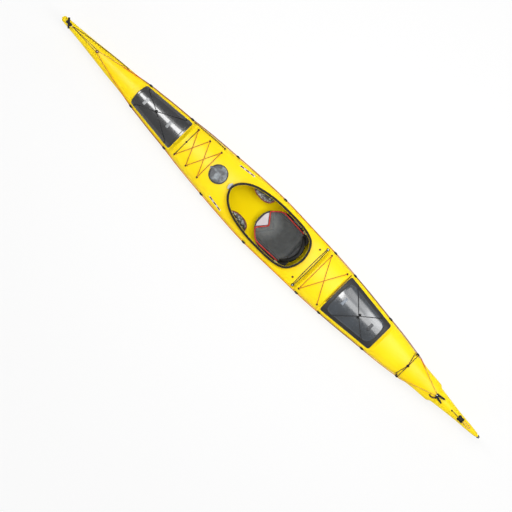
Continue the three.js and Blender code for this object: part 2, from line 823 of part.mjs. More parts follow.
function bungeeEyes() {
  const eyes = [...foreEyeShares, ...aftEyeShares, ...paddleEyeShares, ...crossEyeShares].flatMap(bothSides);
  return eyes.map(([share, across]) => eyeSolid(share, across));
}

// An elastic cord stretched over the deck from one eye to another.
function stretched(from, to, radius, steps) {
  return tube(deckRun(from, to, bungeeDiameter / 2 + bungeeLift), radius, steps);
}

function acrossDeck([share, across], radius, steps) {
  return stretched([share, across], [share, -across], radius, steps);
}

function crossedOver([share, across], [nextShare, nextAcross], radius, steps) {
  return [1, -1].map((side) => {
    return stretched([share, side * across], [nextShare, -side * nextAcross], radius, steps);
  });
}

function foreBungee(radius) {
  const [first, second, third] = foreEyeShares;
  const steps = 6;
  const crossed = [[first, second], [second, third]].flatMap(([a, b]) => crossedOver(a, b, radius, steps));
  return joined([acrossDeck(first, radius, steps), ...crossed, acrossDeck(third, radius, steps)]);
}

function aftBungee(radius) {
  const [first, second] = aftEyeShares;
  const steps = 8;
  return joined([acrossDeck(first, radius, steps), ...crossedOver(first, second, radius, steps)]);
}

// A loop of cord from one eye to the other and back, the strands spread apart in the middle.
function cordLoop([share, across], middleShare, spread, radius) {
  const lift = bungeeDiameter / 2 + bungeeLift;
  const strand = (way) => {
    return loopTurnShares.map((turn) => {
      const along = share + (middleShare - share) * (1 - Math.abs(turn));
      const { point } = onDeck(along, -way * turn * across, lift);
      return point.setX(point.x + way * spread * (1 - turn ** 2 / 2));
    });
  };
  return tube([...strand(1), ...strand(-1)], radius, 16);
}

function paddleCord(radius) {
  return cordLoop(paddleEyeShares[0], paddleEyeShares[0][0], 1.5 * bungeeDiameter, radius);
}

function crossBungee(radius) {
  return cordLoop(crossEyeShares[0], crossBallShare, bungeeDiameter * 2, radius);
}

// Deck lines

function lineFittings(side) {
  return lineFittingShares.map(([share, height]) => {
    const aft = aftOf(share);
    const z = height * deckHeight;
    const across = (side * deckSideAt(aft, z)) / halfBeamAt(aft);
    return onDeck(share, across, 0);
  });
}

// A point moved outward until a cord there stands clear of the deck's side.
function clearOfDeck(point, clearance) {
  const aft = xAt(0) - point.x;
  const side = Math.sign(point.y);
  const skin = deckSideAt(aft, Math.max(point.z, seamAt(aft)));
  const { normal } = onDeck(aft / hullLength, skin / halfBeamAt(aft), 0);
  const steepness = Math.max(normal.y, leastSlopeShare);
  const y = Math.max(Math.abs(point.y), skin + clearance / steepness);
  return new THREE.Vector3(point.x, side * y, point.z);
}

function lineRoute(side) {
  const lift = lineDiameter / 2 + cordLift;
  const held = lineFittings(side).map(({ point, normal }) => point.clone().addScaledVector(normal, lift));
  const spans = held.flatMap((point, i) => {
    const next = held[i + 1];
    if (!next) return [point];
    return [point, ...lineSpanShares.map((share) => clearOfDeck(point.clone().lerp(next, share), lift))];
  });
  const bow = lineBowShares.map(([share, across]) => onDeck(share, side * across, lift).point);
  const stern = lineSternShares.map(([share, across]) => onDeck(share, side * across, lift + cordLift).point);
  return [...bow, ...spans, ...stern];
}

function lineTube(side, radius) {
  const steps = 44;
  return tube(lineRoute(side), radius, steps);
}

function makeLineFitting(place, tunnel) {
  const blank = capBlank(lineFittingRadius, lineFittingHeight, lineFittingSides);
  return seated(onNormal(blank, place)).subtract(tunnel);
}

// Coaming rim

function makeRim() {
  const section = [
    [-rimWidth, -rimThickness],
    [-rimWidth, -rimEdge],
    [-rimWidth + rimEdge, 0],
    [-rimEdge, 0],
    [0, -rimEdge],
    [0, -rimThickness - rimLipDrop],
    [-rimEdge, -rimThickness - rimLipDrop],
    [-rimOverhang + rimEdge, -rimThickness],
  ];
  const rings = coamingOutline(0).map(({ point, outward }) => {
    const top = rimAt(xAt(0) - point.x);
    return section.map(([out, up]) => {
      return new THREE.Vector3(point.x + outward.x * out, point.y + outward.y * out, top + up);
    });
  });
  return closedLoft(rings);
}

// A ring-shaped solid through rings that close on the first one.
function closedLoft(rings) {
  const count = rings[0].length;
  const index = [];
  for (let i = 0; i < rings.length; i += 1) {
    for (let j = 0; j < count; j += 1) {
      const a = i * count + j;
      const b = i * count + ((j + 1) % count);
      const c = ((i + 1) % rings.length) * count + ((j + 1) % count);
      const d = ((i + 1) % rings.length) * count + j;
      index.push(a, b, c, a, c, d);
    }
  }
  const geometry = new THREE.BufferGeometry();
  const positions = rings.flat().flatMap((point) => [point.x, point.y, point.z]);
  geometry.setAttribute("position", new THREE.Float32BufferAttribute(positions, 3));
  geometry.setIndex(index);
  return solidFrom(geometry);
}

// Hatches

function makeHatchFrame(hatch) {
  const opening = hatchPrism(hatch, hatch.border + hatchNeckWall);
  const flange = deckLayer(hatchPrism(hatch, 0).subtract(opening), fitGap, hatchFlangeThickness);
  const neck = deckLayer(hatchPrism(hatch, hatch.border).subtract(opening), -2 * shellWall, hatchNeckHeight);
  return flange.add(neck);
}

function lidTopAt(hatch, x, y) {
  const aft = xAt(0) - x;
  const along = (2 * (aft - aftOf(hatch.foreShare))) / aftOf(hatch.aftShare - hatch.foreShare) - 1;
  const across = y / Math.max(...hatchHalves(hatch, 0));
  const swell = Math.max(1 - along ** 4, 0) * Math.max(1 - Math.abs(across) ** 2, 0);
  const reach = THREE.MathUtils.clamp(aft, aftOf(hatch.foreShare), aftOf(hatch.aftShare));
  return deckAt(reach, y) + hatchFlangeThickness + hatchLidEdge + hatch.crown * swell;
}

function lidDome(hatch, drop) {
  const half = Math.max(...hatchHalves(hatch, 0));
  const low = new THREE.Vector2(xAt(aftOf(hatch.aftShare)), -half);
  const high = new THREE.Vector2(xAt(aftOf(hatch.foreShare)), half);
  const columns = 6;
  const rows = 8;
  return heightBlock(low, high, 0, columns, rows, (x, y) => lidTopAt(hatch, x, y) - drop);
}

function makeHatchLid(hatch) {
  const inset = hatch.border - hatchLidSkirt;
  const outer = hatchPrism(hatch, inset).intersect(lidDome(hatch, 0));
  const inner = hatchPrism(hatch, inset + hatchLidWall).intersect(lidDome(hatch, hatchLidWall));
  return outer.subtract(inner).subtract(deckVolume(-hatchFlangeThickness - fitGap));
}

// The x of a place given as a share of the hatch's length.
function hatchPlace(hatch, share) {
  return xAt(aftOf(THREE.MathUtils.lerp(hatch.foreShare, hatch.aftShare, share)));
}

function hatchBars(hatch) {
  return hatchBarShares.map((share) => {
    const x = hatchPlace(hatch, share);
    const low = new THREE.Vector2(x - hatchBarWidth / 2, -hatchBarSpan / 2);
    const high = new THREE.Vector2(x + hatchBarWidth / 2, hatchBarSpan / 2);
    const bar = (rise) => heightBlock(low, high, 0, 1, 4, (x, y) => lidTopAt(hatch, x, y) + rise);
    return bar(hatchBarHeight).subtract(bar(-hatchLidWall / 2));
  });
}

// The middle of the ball that rests on a lid and gathers its cords.
function hatchCentre(hatch) {
  const x = hatchPlace(hatch, hatch.ballShare);
  return new THREE.Vector3(x, 0, lidTopAt(hatch, x, 0) + ballRadius + fitGap);
}

// Where the cords leave the lid: just outside its long sides, over the frame.
function hatchCordEnds(hatch) {
  const out = bungeeDiameter / 2 + hatchCordRise;
  const inset = hatch.border - hatchLidSkirt;
  const fore = xAt(aftOf(hatch.foreShare)) - hatch.frontBow - inset;
  const aft = xAt(aftOf(hatch.aftShare)) + inset;
  return hatch.cordShares.map((share) => {
    const x = hatchPlace(hatch, share);
    const half = THREE.MathUtils.mapLinear(x, fore, aft, ...hatchHalves(hatch, inset));
    return [1, -1].map((side) => {
      const y = side * (half + out);
      const foot = new THREE.Vector3(x, y, deckAt(xAt(0) - x, y));
      return { foot, top: foot.clone().setZ(lidTopAt(hatch, x, half) + out) };
    });
  });
}

// Two elastic cords that cross over a lid from one side of its frame to the other.
function hatchCords(hatch, radius) {
  const centre = hatchCentre(hatch);
  const lift = hatchBarHeight + bungeeDiameter / 2 + hatchCordRise;
  const over = (end) => {
    const point = end.top.clone().lerp(centre, hatchTouchShare);
    return point.setZ(lidTopAt(hatch, point.x, point.y) + lift);
  };
  const steps = 8;
  const [fore, aft] = hatchCordEnds(hatch);
  const runs = [[fore[0], aft[1]], [fore[1], aft[0]]].flatMap(([from, to]) => [
    tube([from.top, over(from), centre, over(to), to.top], radius, steps),
    ...[from, to].map(({ foot, top }) => rod(foot, top.clone().setZ(top.z + radius / 2), radius, tubeSides)),
  ]);
  return joined(runs).subtract(deckVolume(-hatchFlangeThickness - fitGap));
}

function makeHatchBall(hatch) {
  return ball(hatchCentre(hatch), ballRadius).subtract(hatchCords(hatch, bungeeDiameter / 2 + cordClearance));
}

// Day hatch

function dayTurned(profile, top) {
  return movedTo(turned(profile, hatchSides), dayHatchX(), 0, top);
}

function makeDayRing() {
  const neck = dayRingBore + dayNeckWall;
  const ledge = dayRingBore + podFlange;
  const drop = shellWall + cutOverrun / 2;
  const ring = dayTurned(
    [
      [dayRingBore, -drop],
      [neck, -drop],
      [neck, -shellWall],
      [dayRingRadius, -shellWall],
      [dayRingRadius, dayRingHeight],
      [ledge, dayRingHeight],
      [ledge, dayRingHeight - podFlange - fitGap],
      [dayRingBore, dayRingHeight - podFlange - fitGap],
      [dayRingBore, -drop],
    ],
    dayHatchTop(),
  );
  const under = rod(
    new THREE.Vector3(dayHatchX(), 0, dayHatchTop() - 2 * cutOverrun),
    new THREE.Vector3(dayHatchX(), 0, dayHatchTop() + dayRingHeight),
    neck,
    hatchSides,
  );
  return ring.subtract(deckSkin.subtract(under));
}

function makeDayPod() {
  const outer = dayRingBore - fitGap;
  const flange = dayRingBore + podFlange - fitGap;
  const top = dayRingHeight - fitGap;
  return dayTurned(
    [
      [0, -podDepth],
      [outer - podWall, -podDepth],
      [outer, -podDepth + podWall],
      [outer, top - podFlange],
      [flange, top - podFlange],
      [flange, top],
      [outer - podWall, top],
      [outer - podWall, -podDepth + podWall],
      [0, -podDepth + podWall],
    ],
    dayHatchTop(),
  );
}

function makeDayLid() {
  const low = dayRingHeight + fitGap;
  const high = low + dayLidHeight;
  const lid = dayTurned(
    [
      [0, high - dayLidWall],
      [dayHatchRadius - dayLidRound, high - dayLidWall],
      [dayHatchRadius - dayLidWall, high - dayLidRound],
      [dayHatchRadius - dayLidWall, low],
      [dayHatchRadius, low],
      [dayHatchRadius, high - dayLidRound],
      [dayHatchRadius - dayLidRound, high],
      [0, high],
    ],
    dayHatchTop(),
  );
  const tabX = dayHatchX() + dayHatchRadius - dayLidWall;
  const tabLow = new THREE.Vector3(tabX, -dayTabWidth / 2, dayHatchTop() + low);
  const tabHigh = tabLow.clone().add(new THREE.Vector3(dayTabLength, dayTabWidth, dayTabThickness));
  return lid.add(boxBetween(tabLow, tabHigh));
}

// Bulkheads

function makeBulkhead(aft) {
  const fore = xAt(aft);
  const low = new THREE.Vector3(fore - bulkheadThickness, -beam / 2, 0);
  const high = new THREE.Vector3(fore, beam / 2, deckHeight);
  return boxBetween(low, high).intersect(hold);
}

// Seat

function seatFore() {
  return cockpitAft() - seatFromCoaming - seatLength;
}

function seatTopAt(x, y) {
  const along = (xAt(seatFore()) - x) / seatLength;
  const across = (2 * y) / seatWidth;
  const front = seatFrontRise * Math.max(1 - along / seatFrontShare, 0) ** 1.6;
  const back = seatBackRise * Math.max((along - 1) / seatBackShare + 1, 0) ** 2;
  return seatFloor + front + back + seatSideRise * Math.abs(across) ** 3;
}

function seatOutline(inset) {
  const fore = xAt(seatFore()) - inset;
  const aft = xAt(seatFore() + seatLength) + inset;
  const shoulder = fore - seatNoseDepthShare * seatLength;
  const half = seatWidth / 2 - inset;
  const nose = half * seatNoseShare;
  const corner = seatCorner - inset;
  return roundedOutline([
    { x: fore, y: nose, r: nose - seatWall },
    { x: fore, y: -nose, r: nose - seatWall },
    { x: shoulder, y: -half, r: corner },
    { x: aft, y: -half, r: corner },
    { x: aft, y: half, r: corner },
    { x: shoulder, y: half, r: corner },
  ]);
}

function seatBlock(rise) {
  const low = new THREE.Vector2(xAt(seatFore() + seatLength), -seatWidth / 2);
  const high = new THREE.Vector2(xAt(seatFore()), seatWidth / 2);
  const columns = 8;
  const rows = 8;
  return heightBlock(low, high, -cutOverrun, columns, rows, (x, y) => seatTopAt(x, y) + rise);
}

// The backrest's pin, so placed that the backrest stands clear of the coaming's wall.
function hingePoint(side) {
  const reach = backrestRadius + backrestShell;
  const aft = cockpitAft() - rimOverhang - riserWall - backrestGap - reach;
  return new THREE.Vector3(xAt(aft), side * reach, hingeHeight);
}

function makeSeatPan() {
  const tall = deckHeight;
  const outer = prism(seatOutline(0), -cutOverrun, tall).intersect(seatBlock(0));
  const inner = prism(seatOutline(seatWall), -2 * cutOverrun, tall).intersect(seatBlock(-seatWall));
  let pan = outer.intersect(hold).subtract(inner);
  for (const side of [1, -1]) pan = pan.add(seatEar(side).intersect(hold));
  return pan;
}

// An upright ear on the seat's side with the pin that the backrest turns on.
function seatEar(side) {
  const hinge = hingePoint(side);
  const inner = hinge.y + side * hingeClearance;
  const outer = inner + side * seatEarThickness;
  const low = new THREE.Vector3(hinge.x - seatEarLength / 2, Math.min(inner, outer), seatFloor);
  const high = new THREE.Vector3(hinge.x + seatEarLength / 2, Math.max(inner, outer), seatEarHeight);
  const pin = rod(
    new THREE.Vector3(hinge.x, inner + (side * seatEarThickness) / 2, hinge.z),
    new THREE.Vector3(hinge.x, hinge.y - side * backrestShell, hinge.z),
    hingePinRadius,
  );
  return boxBetween(low, high).add(pin);
}

// The cushion's half outline in millimetres: behind the seat's lip, and from the centreline.
function cushionPoints() {
  return cushionShares.map(([behind, across]) => [behind * seatLength, (across * seatWidth) / 2]);
}

// How deep the sewn channels lie at a place on the cushion, from 0 to 1.
function channelAt(behind, y) {
  const [tip, leg, shoulder, end] = cushionPoints();
  const notch = THREE.MathUtils.mapLinear(Math.abs(y), tip[1], leg[1], tip[0], leg[0]);
  const side = THREE.MathUtils.mapLinear(behind, shoulder[0], end[0], shoulder[1], end[1]);
  const vee = Math.abs(behind - notch - 2 * channelInset) / channelWidth;
  const edge = Math.abs(Math.abs(y) - side + channelInset) / channelWidth;
  return Math.max(1 - Math.min(vee, edge), 0);
}

function cushionTopAt(x, y) {
  const behind = xAt(seatFore()) - x;
  const [, leg, shoulder, end] = cushionPoints();
  const along = Math.abs(THREE.MathUtils.mapLinear(behind, leg[0], end[0], -1, 1));
  const across = Math.abs(y) / shoulder[1];
  const rounded = Math.max(1 - along ** 6, 0) ** 0.5 * Math.max(1 - across ** 6, 0) ** 0.5;
  const thickness = cushionThickness - channelDepth * channelAt(behind, y);
  return seatTopAt(x, y) + fitGap + thickness * THREE.MathUtils.lerp(cushionEdgeShare, 1, rounded);
}

function makeCushion() {
  const [tip, leg, shoulder, end] = cushionPoints();
  const at = ([behind, out], side, r) => ({ x: xAt(seatFore() + behind), y: side * out, r });
  const sideOf = (side) => [
    at(leg, side, cushionNotchRound),
    at(shoulder, side, cushionCorner),
    at(end, side, cushionCorner),
  ];
  const outline = roundedOutline([at(tip, 1, cushionNotchRound), ...sideOf(-1), ...sideOf(1).reverse()]);
  const columns = 12;
  const rows = 12;
  const low = new THREE.Vector2(xAt(seatFore() + end[0]), -shoulder[1]);
  const high = new THREE.Vector2(xAt(seatFore() + leg[0]), shoulder[1]);
  const top = heightBlock(low, high, 0, columns, rows, cushionTopAt);
  return prism(outline, 0, deckHeight).intersect(top).intersect(hold).subtract(seatBlock(fitGap));
}

// Backrest

function backrestRings(innerRadius, outerRadius, low, high) {
  const steps = 18;
  const rings = [];
  const centre = hingePoint(1).x;
  for (let i = 0; i <= steps; i += 1) {
    const turn = THREE.MathUtils.degToRad(backrestSpan * (i / steps - 1 / 2));
    const bend = (2 * Math.abs(i / steps - 1 / 2)) ** 2;
    const at = (radius, z) => new THREE.Vector3(centre - radius * Math.cos(turn), radius * Math.sin(turn), z);
    const top = high - backrestEndDrop * bend;
    rings.push([at(innerRadius, low), at(outerRadius, low), at(outerRadius, top), at(innerRadius, top)]);
  }
  return loft(rings);
}

function makeBackrestShell() {
  const inner = backrestRadius;
  const outer = backrestRadius + backrestShell;
  let shell = backrestRings(inner, outer, backrestLow, backrestHigh);
  for (const side of [1, -1]) shell = shell.add(backrestArmSolid(side));
  return shell;
}

// The arm that carries the backrest's end down to its pin.
function backrestArmSolid(side) {
  const hinge = hingePoint(side);
  const end = THREE.MathUtils.degToRad(backrestSpan / 2);
  const reach = backrestRadius + backrestShell;
  const aftEnd = hinge.x - reach * Math.cos(end) - backrestArm;
  const spanned = (across, from, to) =>
    boxBetween(
      new THREE.Vector3(from.x, Math.min(...across), from.z),
      new THREE.Vector3(to.x, Math.max(...across), to.z),
    );
  const plate = spanned(
    [hinge.y, hinge.y - side * backrestShell],
    { x: aftEnd, z: hinge.z - backrestArm / 2 },
    { x: hinge.x + backrestArm / 2, z: backrestLow + backrestArm },
  );
  const slab = spanned(
    [hinge.y, side * backrestRadius * Math.sin(end)],
    { x: aftEnd, z: backrestLow },
    { x: aftEnd + backrestArm, z: backrestLow + backrestArm },
  );
  const hole = rod(
    new THREE.Vector3(hinge.x, hinge.y + side * cutOverrun, hinge.z),
    new THREE.Vector3(hinge.x, hinge.y - side * cutOverrun, hinge.z),
    hingePinRadius + hingeClearance,
  );
  return plate.add(slab).subtract(hole);
}

function makeBackrestPad() {
  const outer = backrestRadius - fitGap;
  const inner = outer - backrestPad;
  const pad = backrestRings(inner, outer, backrestLow + rimEdge, backrestHigh - rimEdge);
  return pad.subtract(backrestArmSolid(1)).subtract(backrestArmSolid(-1));
}

// Thigh braces

function makeThighBrace(side) {
  const fore = cockpitFore() + braceForeShare * cockpitLength;
  const outer = cockpitWidth / 2 + braceUnderDeck;
  const edge = braceEdgeShares.map(([along, across]) => {
    return new THREE.Vector2(xAt(fore + along * braceLength), (side * across * cockpitWidth) / 2);
  });
  const inner = new THREE.SplineCurve(edge).getPoints(2 * edge.length);
  const ends = [new THREE.Vector2(inner.at(-1).x, side * outer), new THREE.Vector2(inner[0].x, side * outer)];
  const body = prism([...inner, ...ends], seamAt(fore) + braceFloor, deckHeight);
  return body.intersect(hold).subtract(interior(fitGap + bracePlate));
}

// Foot braces

function railEnds(side) {
  return [railForeShare, railAftShare].map((share) => {
    const aft = aftOf(share);
    const y = halfBeamAt(aft) - shellWall - railSetback - railThickness / 2;
    return new THREE.Vector3(xAt(aft), side * y, railHeight);
  });
}

function railMatrix(side) {
  const [fore, aft] = railEnds(side);
  const along = fore.clone().sub(aft).normalize();
  const up = new THREE.Vector3(0, 0, 1);
  const across = up.clone().cross(along);
  const middle = fore.clone().add(aft).multiplyScalar(1 / 2);
  return new THREE.Matrix4().makeBasis(along, across, up).setPosition(middle);
}

function railLength(side) {
  const [fore, aft] = railEnds(side);
  return fore.distanceTo(aft);
}

function makeFootRail(side) {
  const half = new THREE.Vector3(railLength(side) / 2, railThickness / 2, railWidth / 2);
  const bar = boxBetween(half.clone().negate(), half);
  const bosses = [1, -1].map((end) => {
    const x = end * (railLength(side) / 2 - railBossInset);
    const from = new THREE.Vector3(x, 0, 0);
    const to = new THREE.Vector3(x, side * (railSetback + cutOverrun), 0);
    return rod(from, to, railBossRadius);
  });
  return placed(joined([bar, ...bosses]), railMatrix(side)).intersect(hold);
}

function makeFootPedal(side) {
  const gap = fitGap;
  const inner = railThickness / 2 + gap;
  const tall = railWidth / 2 + gap;
  const collar = boxBetween(
    new THREE.Vector3(-pedalLength / 2, -inner - pedalCollar, -tall - pedalCollar),
    new THREE.Vector3(pedalLength / 2, inner + pedalCollar, tall + pedalCollar),
  );
  const channel = boxBetween(
    new THREE.Vector3(-pedalLength, -inner, -tall),
    new THREE.Vector3(pedalLength, inner, tall),
  );
  const near = -side * (inner + pedalCollar - gap);
  const far = near - side * pedalWidth;
  const plate = boxBetween(
    new THREE.Vector3(-pedalThickness / 2, Math.min(near, far), -pedalHeight / 2),
    new THREE.Vector3(pedalThickness / 2, Math.max(near, far), pedalHeight / 2),
  );
  return placed(collar.subtract(channel).add(plate), railMatrix(side));
}

// Bow fittings

function bowTop() {
  return deckAt(aftOf(bowToggleShare), 0);
}

function makeTogglePlate() {
  const x = xAt(aftOf(bowToggleShare));
  const half = togglePlateWidth / 2;
  const outline = roundedOutline([
    { x: x + togglePlateLength / 2, y: -half, r: half - rimEdge },
    { x: x - togglePlateLength / 2, y: -half, r: half - rimEdge },
    { x: x - togglePlateLength / 2, y: half, r: half - rimEdge },
    { x: x + togglePlateLength / 2, y: half, r: half - rimEdge },
  ]);
  return seated(prism(outline, bowTop() - togglePlateHeight, bowTop() + togglePlateHeight));
}

function makeTogglePost() {
  const x = xAt(aftOf(bowToggleShare));
  const low = bowTop() + togglePlateHeight + fitGap;
  const from = new THREE.Vector3(x, 0, low);
  const to = new THREE.Vector3(x, 0, low + togglePostHeight);
  return rod(from, to, togglePostRadius);
}

function makeToggle() {
  const profile = [
    [0, -toggleLength / 2],
    [toggleRadius - rimEdge, -toggleLength / 2],
    [toggleRadius, -toggleLength / 2 + rimEdge],
    [toggleRadius, -toggleLength / 4],
    [toggleWaistRadius, 0],
    [toggleRadius, toggleLength / 4],
    [toggleRadius, toggleLength / 2 - rimEdge],
    [toggleRadius - rimEdge, toggleLength / 2],
    [0, toggleLength / 2],
  ];
  const turn = new THREE.Euler(Math.PI / 2, 0, THREE.MathUtils.degToRad(toggleTurn), "ZXY");
  const z = bowTop() + togglePlateHeight + togglePostHeight + 3 * fitGap + toggleWaistRadius;
  const place = new THREE.Vector3(xAt(aftOf(bowToggleShare)), 0, z);
  const matrix = new THREE.Matrix4().makeRotationFromEuler(turn).setPosition(place);
  return placed(turned(profile, roundSides), matrix);
}

// The two strands of thin cord between the toggle's plate and the deck loop, which meet ahead.
function bowCord(radius) {
  const lift = thinCordDiameter / 2 + cordLift;
  const strands = [1, -1].map((side) => {
    const points = bowCordShares.map(([share, across]) => onDeck(share, side * across, lift).point);
    return tube(points, radius, 8);
  });
  return joined(strands);
}

function makeDeckLoop(tunnels) {
  const blank = onNormal(capBlank(deckLoopRadius, deckLoopHeight, roundSides), onDeck(deckLoopShare, 0, 0));
  return tunnels.reduce((left, tunnel) => left.subtract(tunnel), seated(blank));
}

// Stern fittings

// A rest shaped as a V in plan, its apex ahead and its arms open to the stern.
function makeCleat(tunnels) {
  const fore = xAt(aftOf(cleatShare));
  const aft = fore - cleatLength;
  const throat = aft + cleatNotchLength;
  const gap = cleatWidth / 2 - cleatArm;
  const outline = roundedOutline([
    { x: fore, y: -cleatNose / 2, r: rimEdge },
    { x: aft, y: -cleatWidth / 2, r: rimEdge },
    { x: aft, y: -gap, r: rimEdge },
    { x: throat, y: -rimEdge, r: rimEdge - fitGap },
    { x: throat, y: rimEdge, r: rimEdge - fitGap },
    { x: aft, y: gap, r: rimEdge },
    { x: aft, y: cleatWidth / 2, r: rimEdge },
    { x: fore, y: cleatNose / 2, r: rimEdge },
  ]);
  const top = deckAt(aftOf(cleatShare), 0);
  const low = new THREE.Vector2(aft, -cleatWidth / 2);
  const high = new THREE.Vector2(fore, cleatWidth / 2);
  const columns = 1;
  const slope = heightBlock(low, high, top - cleatHeight, columns, columns, (x) => {
    return top + THREE.MathUtils.mapLinear(x, fore, aft, cleatHeight, cleatTailHeight);
  });
  const block = seated(prism(outline, top - cutOverrun, top + cleatHeight + cutOverrun).intersect(slope));
  return tunnels.reduce((left, tunnel) => left.subtract(tunnel), block);
}

// The stern toggle's line, which runs through the toggle and ends in a loop behind it.
function sternCord(radius) {
  const lift = thinCordDiameter / 2 + cordLift;
  return tube(sternCordShares.map(([share, across]) => onDeck(share, across, lift).point), radius, 18);
}

function makeSternToggle() {
  const middle = aftOf(sternToggleShare);
  const x = xAt(middle);
  const top = deckAt(middle, 0);
  const half = sternToggleWidth / 2;
  const outline = roundedOutline([
    { x: x + sternToggleLength / 2, y: -half, r: sternToggleRound },
    { x: x - sternToggleLength / 2, y: -half * sternToggleTaperShare, r: sternToggleRound },
    { x: x - sternToggleLength / 2, y: half * sternToggleTaperShare, r: sternToggleRound },
    { x: x + sternToggleLength / 2, y: half, r: sternToggleRound },
  ]);
  const block = seated(prism(outline, top + fitGap, top + sternToggleHeight));
  return block.subtract(sternCord(thinCordDiameter / 2 + cordClearance));
}

function makeSternLine() {
  const lift = beadRadius + fitGap;
  const bead = ball(onDeck(sternBeadShare, 0, lift).point, beadRadius);
  return sternCord(thinCordDiameter / 2).add(bead).subtract(deckSkin);
}

function makeSternBracket() {
  const face = xAt(hullLength) - fitGap;
  const low = bracketLowShare * deckHeight;
  const plate = boxBetween(
    new THREE.Vector3(face - bracketPlate, -bracketWidth / 2, low),
    new THREE.Vector3(face, bracketWidth / 2, low + bracketHeight),
  );
  const ears = [low, low + bracketHeight - bracketEar].map((z) =>
    boxBetween(
      new THREE.Vector3(xAt(hullLength) - bracketProud, -bracketEar, z),
      new THREE.Vector3(face - bracketPlate / 2, bracketEar, z + bracketEar),
    ),
  );
  const x = xAt(hullLength) - (bracketProud + bracketPlate) / 2;
  const bore = rod(
    new THREE.Vector3(x, 0, low - cutOverrun),
    new THREE.Vector3(x, 0, low + bracketHeight + cutOverrun),
    bracketPinRadius,
  );
  return joined([plate, ...ears]).subtract(bore);
}

// Assembly

function addShell() {
  addPart("hull", makeHull(), "yellow");
  addPart("deck", makeDeck(), "yellow");
  addPart("cockpit_rim", makeRim(), "black");
  addPart("bow_bulkhead", makeBulkhead(aftOf(bowBulkheadShare)), "foam");
  addPart("stern_bulkhead", makeBulkhead(cockpitAft() + sternBulkheadSetback), "foam");
}

function addHatch(name, hatch, lidFinish) {
  addPart(`${name}_hatch_frame`, makeHatchFrame(hatch), "black");
  addPart(`${name}_hatch_lid`, joined([makeHatchLid(hatch), ...hatchBars(hatch)]), lidFinish);
  addPart(`${name}_hatch_cords`, hatchCords(hatch, bungeeDiameter / 2), "cord");
  addPart(`${name}_hatch_ball`, makeHatchBall(hatch), "black");
}

function addDayHatch() {
  addPart("day_hatch_ring", makeDayRing(), "black");
  addPart("day_hatch_pod", makeDayPod(), "black");
  addPart("day_hatch_lid", makeDayLid(), "rubber");
}

function addDeckRigging() {
  const radius = bungeeDiameter / 2;
  addPart("fore_deck_bungee", foreBungee(radius), "cord");
  addPart("aft_deck_bungee", aftBungee(radius), "cord");
  addPart("paddle_park_cord", paddleCord(radius), "cord");
  addPart("stern_cross_bungee", crossBungee(radius), "cord");
  const tunnels = [1, -1].map((side) => lineTube(side, lineDiameter / 2 + cordClearance));
  const cordTunnel = bowCord(thinCordDiameter / 2 + cordClearance);
  for (const [name, side, tunnel] of [["port", 1, tunnels[0]], ["starboard", -1, tunnels[1]]]) {
    addPart(`deck_line_${name}`, lineTube(side, lineDiameter / 2), "cord");
    lineFittings(side).forEach((place, i) => {
      addPart(`line_fitting_${name}_${i + 1}`, makeLineFitting(place, tunnel), "black");
    });
  }
  addPart("bow_toggle_cord", bowCord(thinCordDiameter / 2), "cord");
  addPart("bow_deck_loop", makeDeckLoop([...tunnels, cordTunnel]), "black");
  addPart("stern_cleat", makeCleat(tunnels), "black");
}

function addEndFittings() {
  addPart("bow_toggle_plate", makeTogglePlate(), "black");
  addPart("bow_toggle_post", makeTogglePost(), "cord");
  addPart("bow_toggle", makeToggle(), "black");
  addPart("stern_toggle_line", makeSternLine(), "paleCord");
  addPart("stern_toggle", makeSternToggle(), "black");
  addPart("stern_bracket", makeSternBracket(), "black");
}

function addOutfitting() {
  addPart("seat_pan", makeSeatPan(), "black");
  addPart("seat_cushion", makeCushion(), "fabric");
  addPart("backrest_shell", makeBackrestShell(), "blackGloss");
  addPart("backrest_pad", makeBackrestPad(), "foam");
  for (const [name, side] of [["port", 1], ["starboard", -1]]) {
    addPart(`thigh_brace_${name}`, makeThighBrace(side), "rubber");
    addPart(`foot_rail_${name}`, makeFootRail(side), "metal");
    addPart(`foot_pedal_${name}`, makeFootPedal(side), "black");
  }
}

addShell();
addHatch("bow", bowHatch, "blackGloss");
addHatch("stern", sternHatch, "grey");
addDayHatch();
addDeckRigging();
addEndFittings();
addOutfitting();

export default kayak;
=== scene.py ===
"""Looks of the touring sea kayak: fine surfaces, fabrics, cords, fittings, light and camera.

Shapes are worked out in millimetres and handed to Blender in metres.
"""

from math import ceil, copysign, cos, hypot, pi, radians, sin, sqrt

import bmesh
import bpy
from mathutils import Matrix, Vector


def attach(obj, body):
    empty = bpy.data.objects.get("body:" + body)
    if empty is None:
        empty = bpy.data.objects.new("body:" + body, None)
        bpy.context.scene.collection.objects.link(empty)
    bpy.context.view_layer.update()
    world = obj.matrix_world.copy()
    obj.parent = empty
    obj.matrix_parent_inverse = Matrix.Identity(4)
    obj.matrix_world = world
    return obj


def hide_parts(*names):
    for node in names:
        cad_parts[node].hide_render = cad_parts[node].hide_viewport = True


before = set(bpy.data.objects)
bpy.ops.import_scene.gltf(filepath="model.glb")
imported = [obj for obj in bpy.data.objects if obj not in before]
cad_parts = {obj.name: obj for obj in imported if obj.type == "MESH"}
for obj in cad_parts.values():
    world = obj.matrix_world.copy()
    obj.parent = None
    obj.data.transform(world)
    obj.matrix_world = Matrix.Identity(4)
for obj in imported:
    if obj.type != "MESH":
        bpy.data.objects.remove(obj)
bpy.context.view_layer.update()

# The camera looks straight down on the kayak, whose bow points to the photograph's top left.

SCALE = 8.8  # millimetres of the kayak for each pixel of the photograph
PICTURE = 512
CENTRE_PIXEL = (270.9, 227.4)  # where the middle of the kayak is in the photograph
HEADING = radians(45.325)
FOCUS_HEIGHT = 0.26
CAMERA_DISTANCE = 30.0


def add_object(name, data):
    obj = bpy.data.objects.new(name, data)
    bpy.context.scene.collection.objects.link(obj)
    return obj


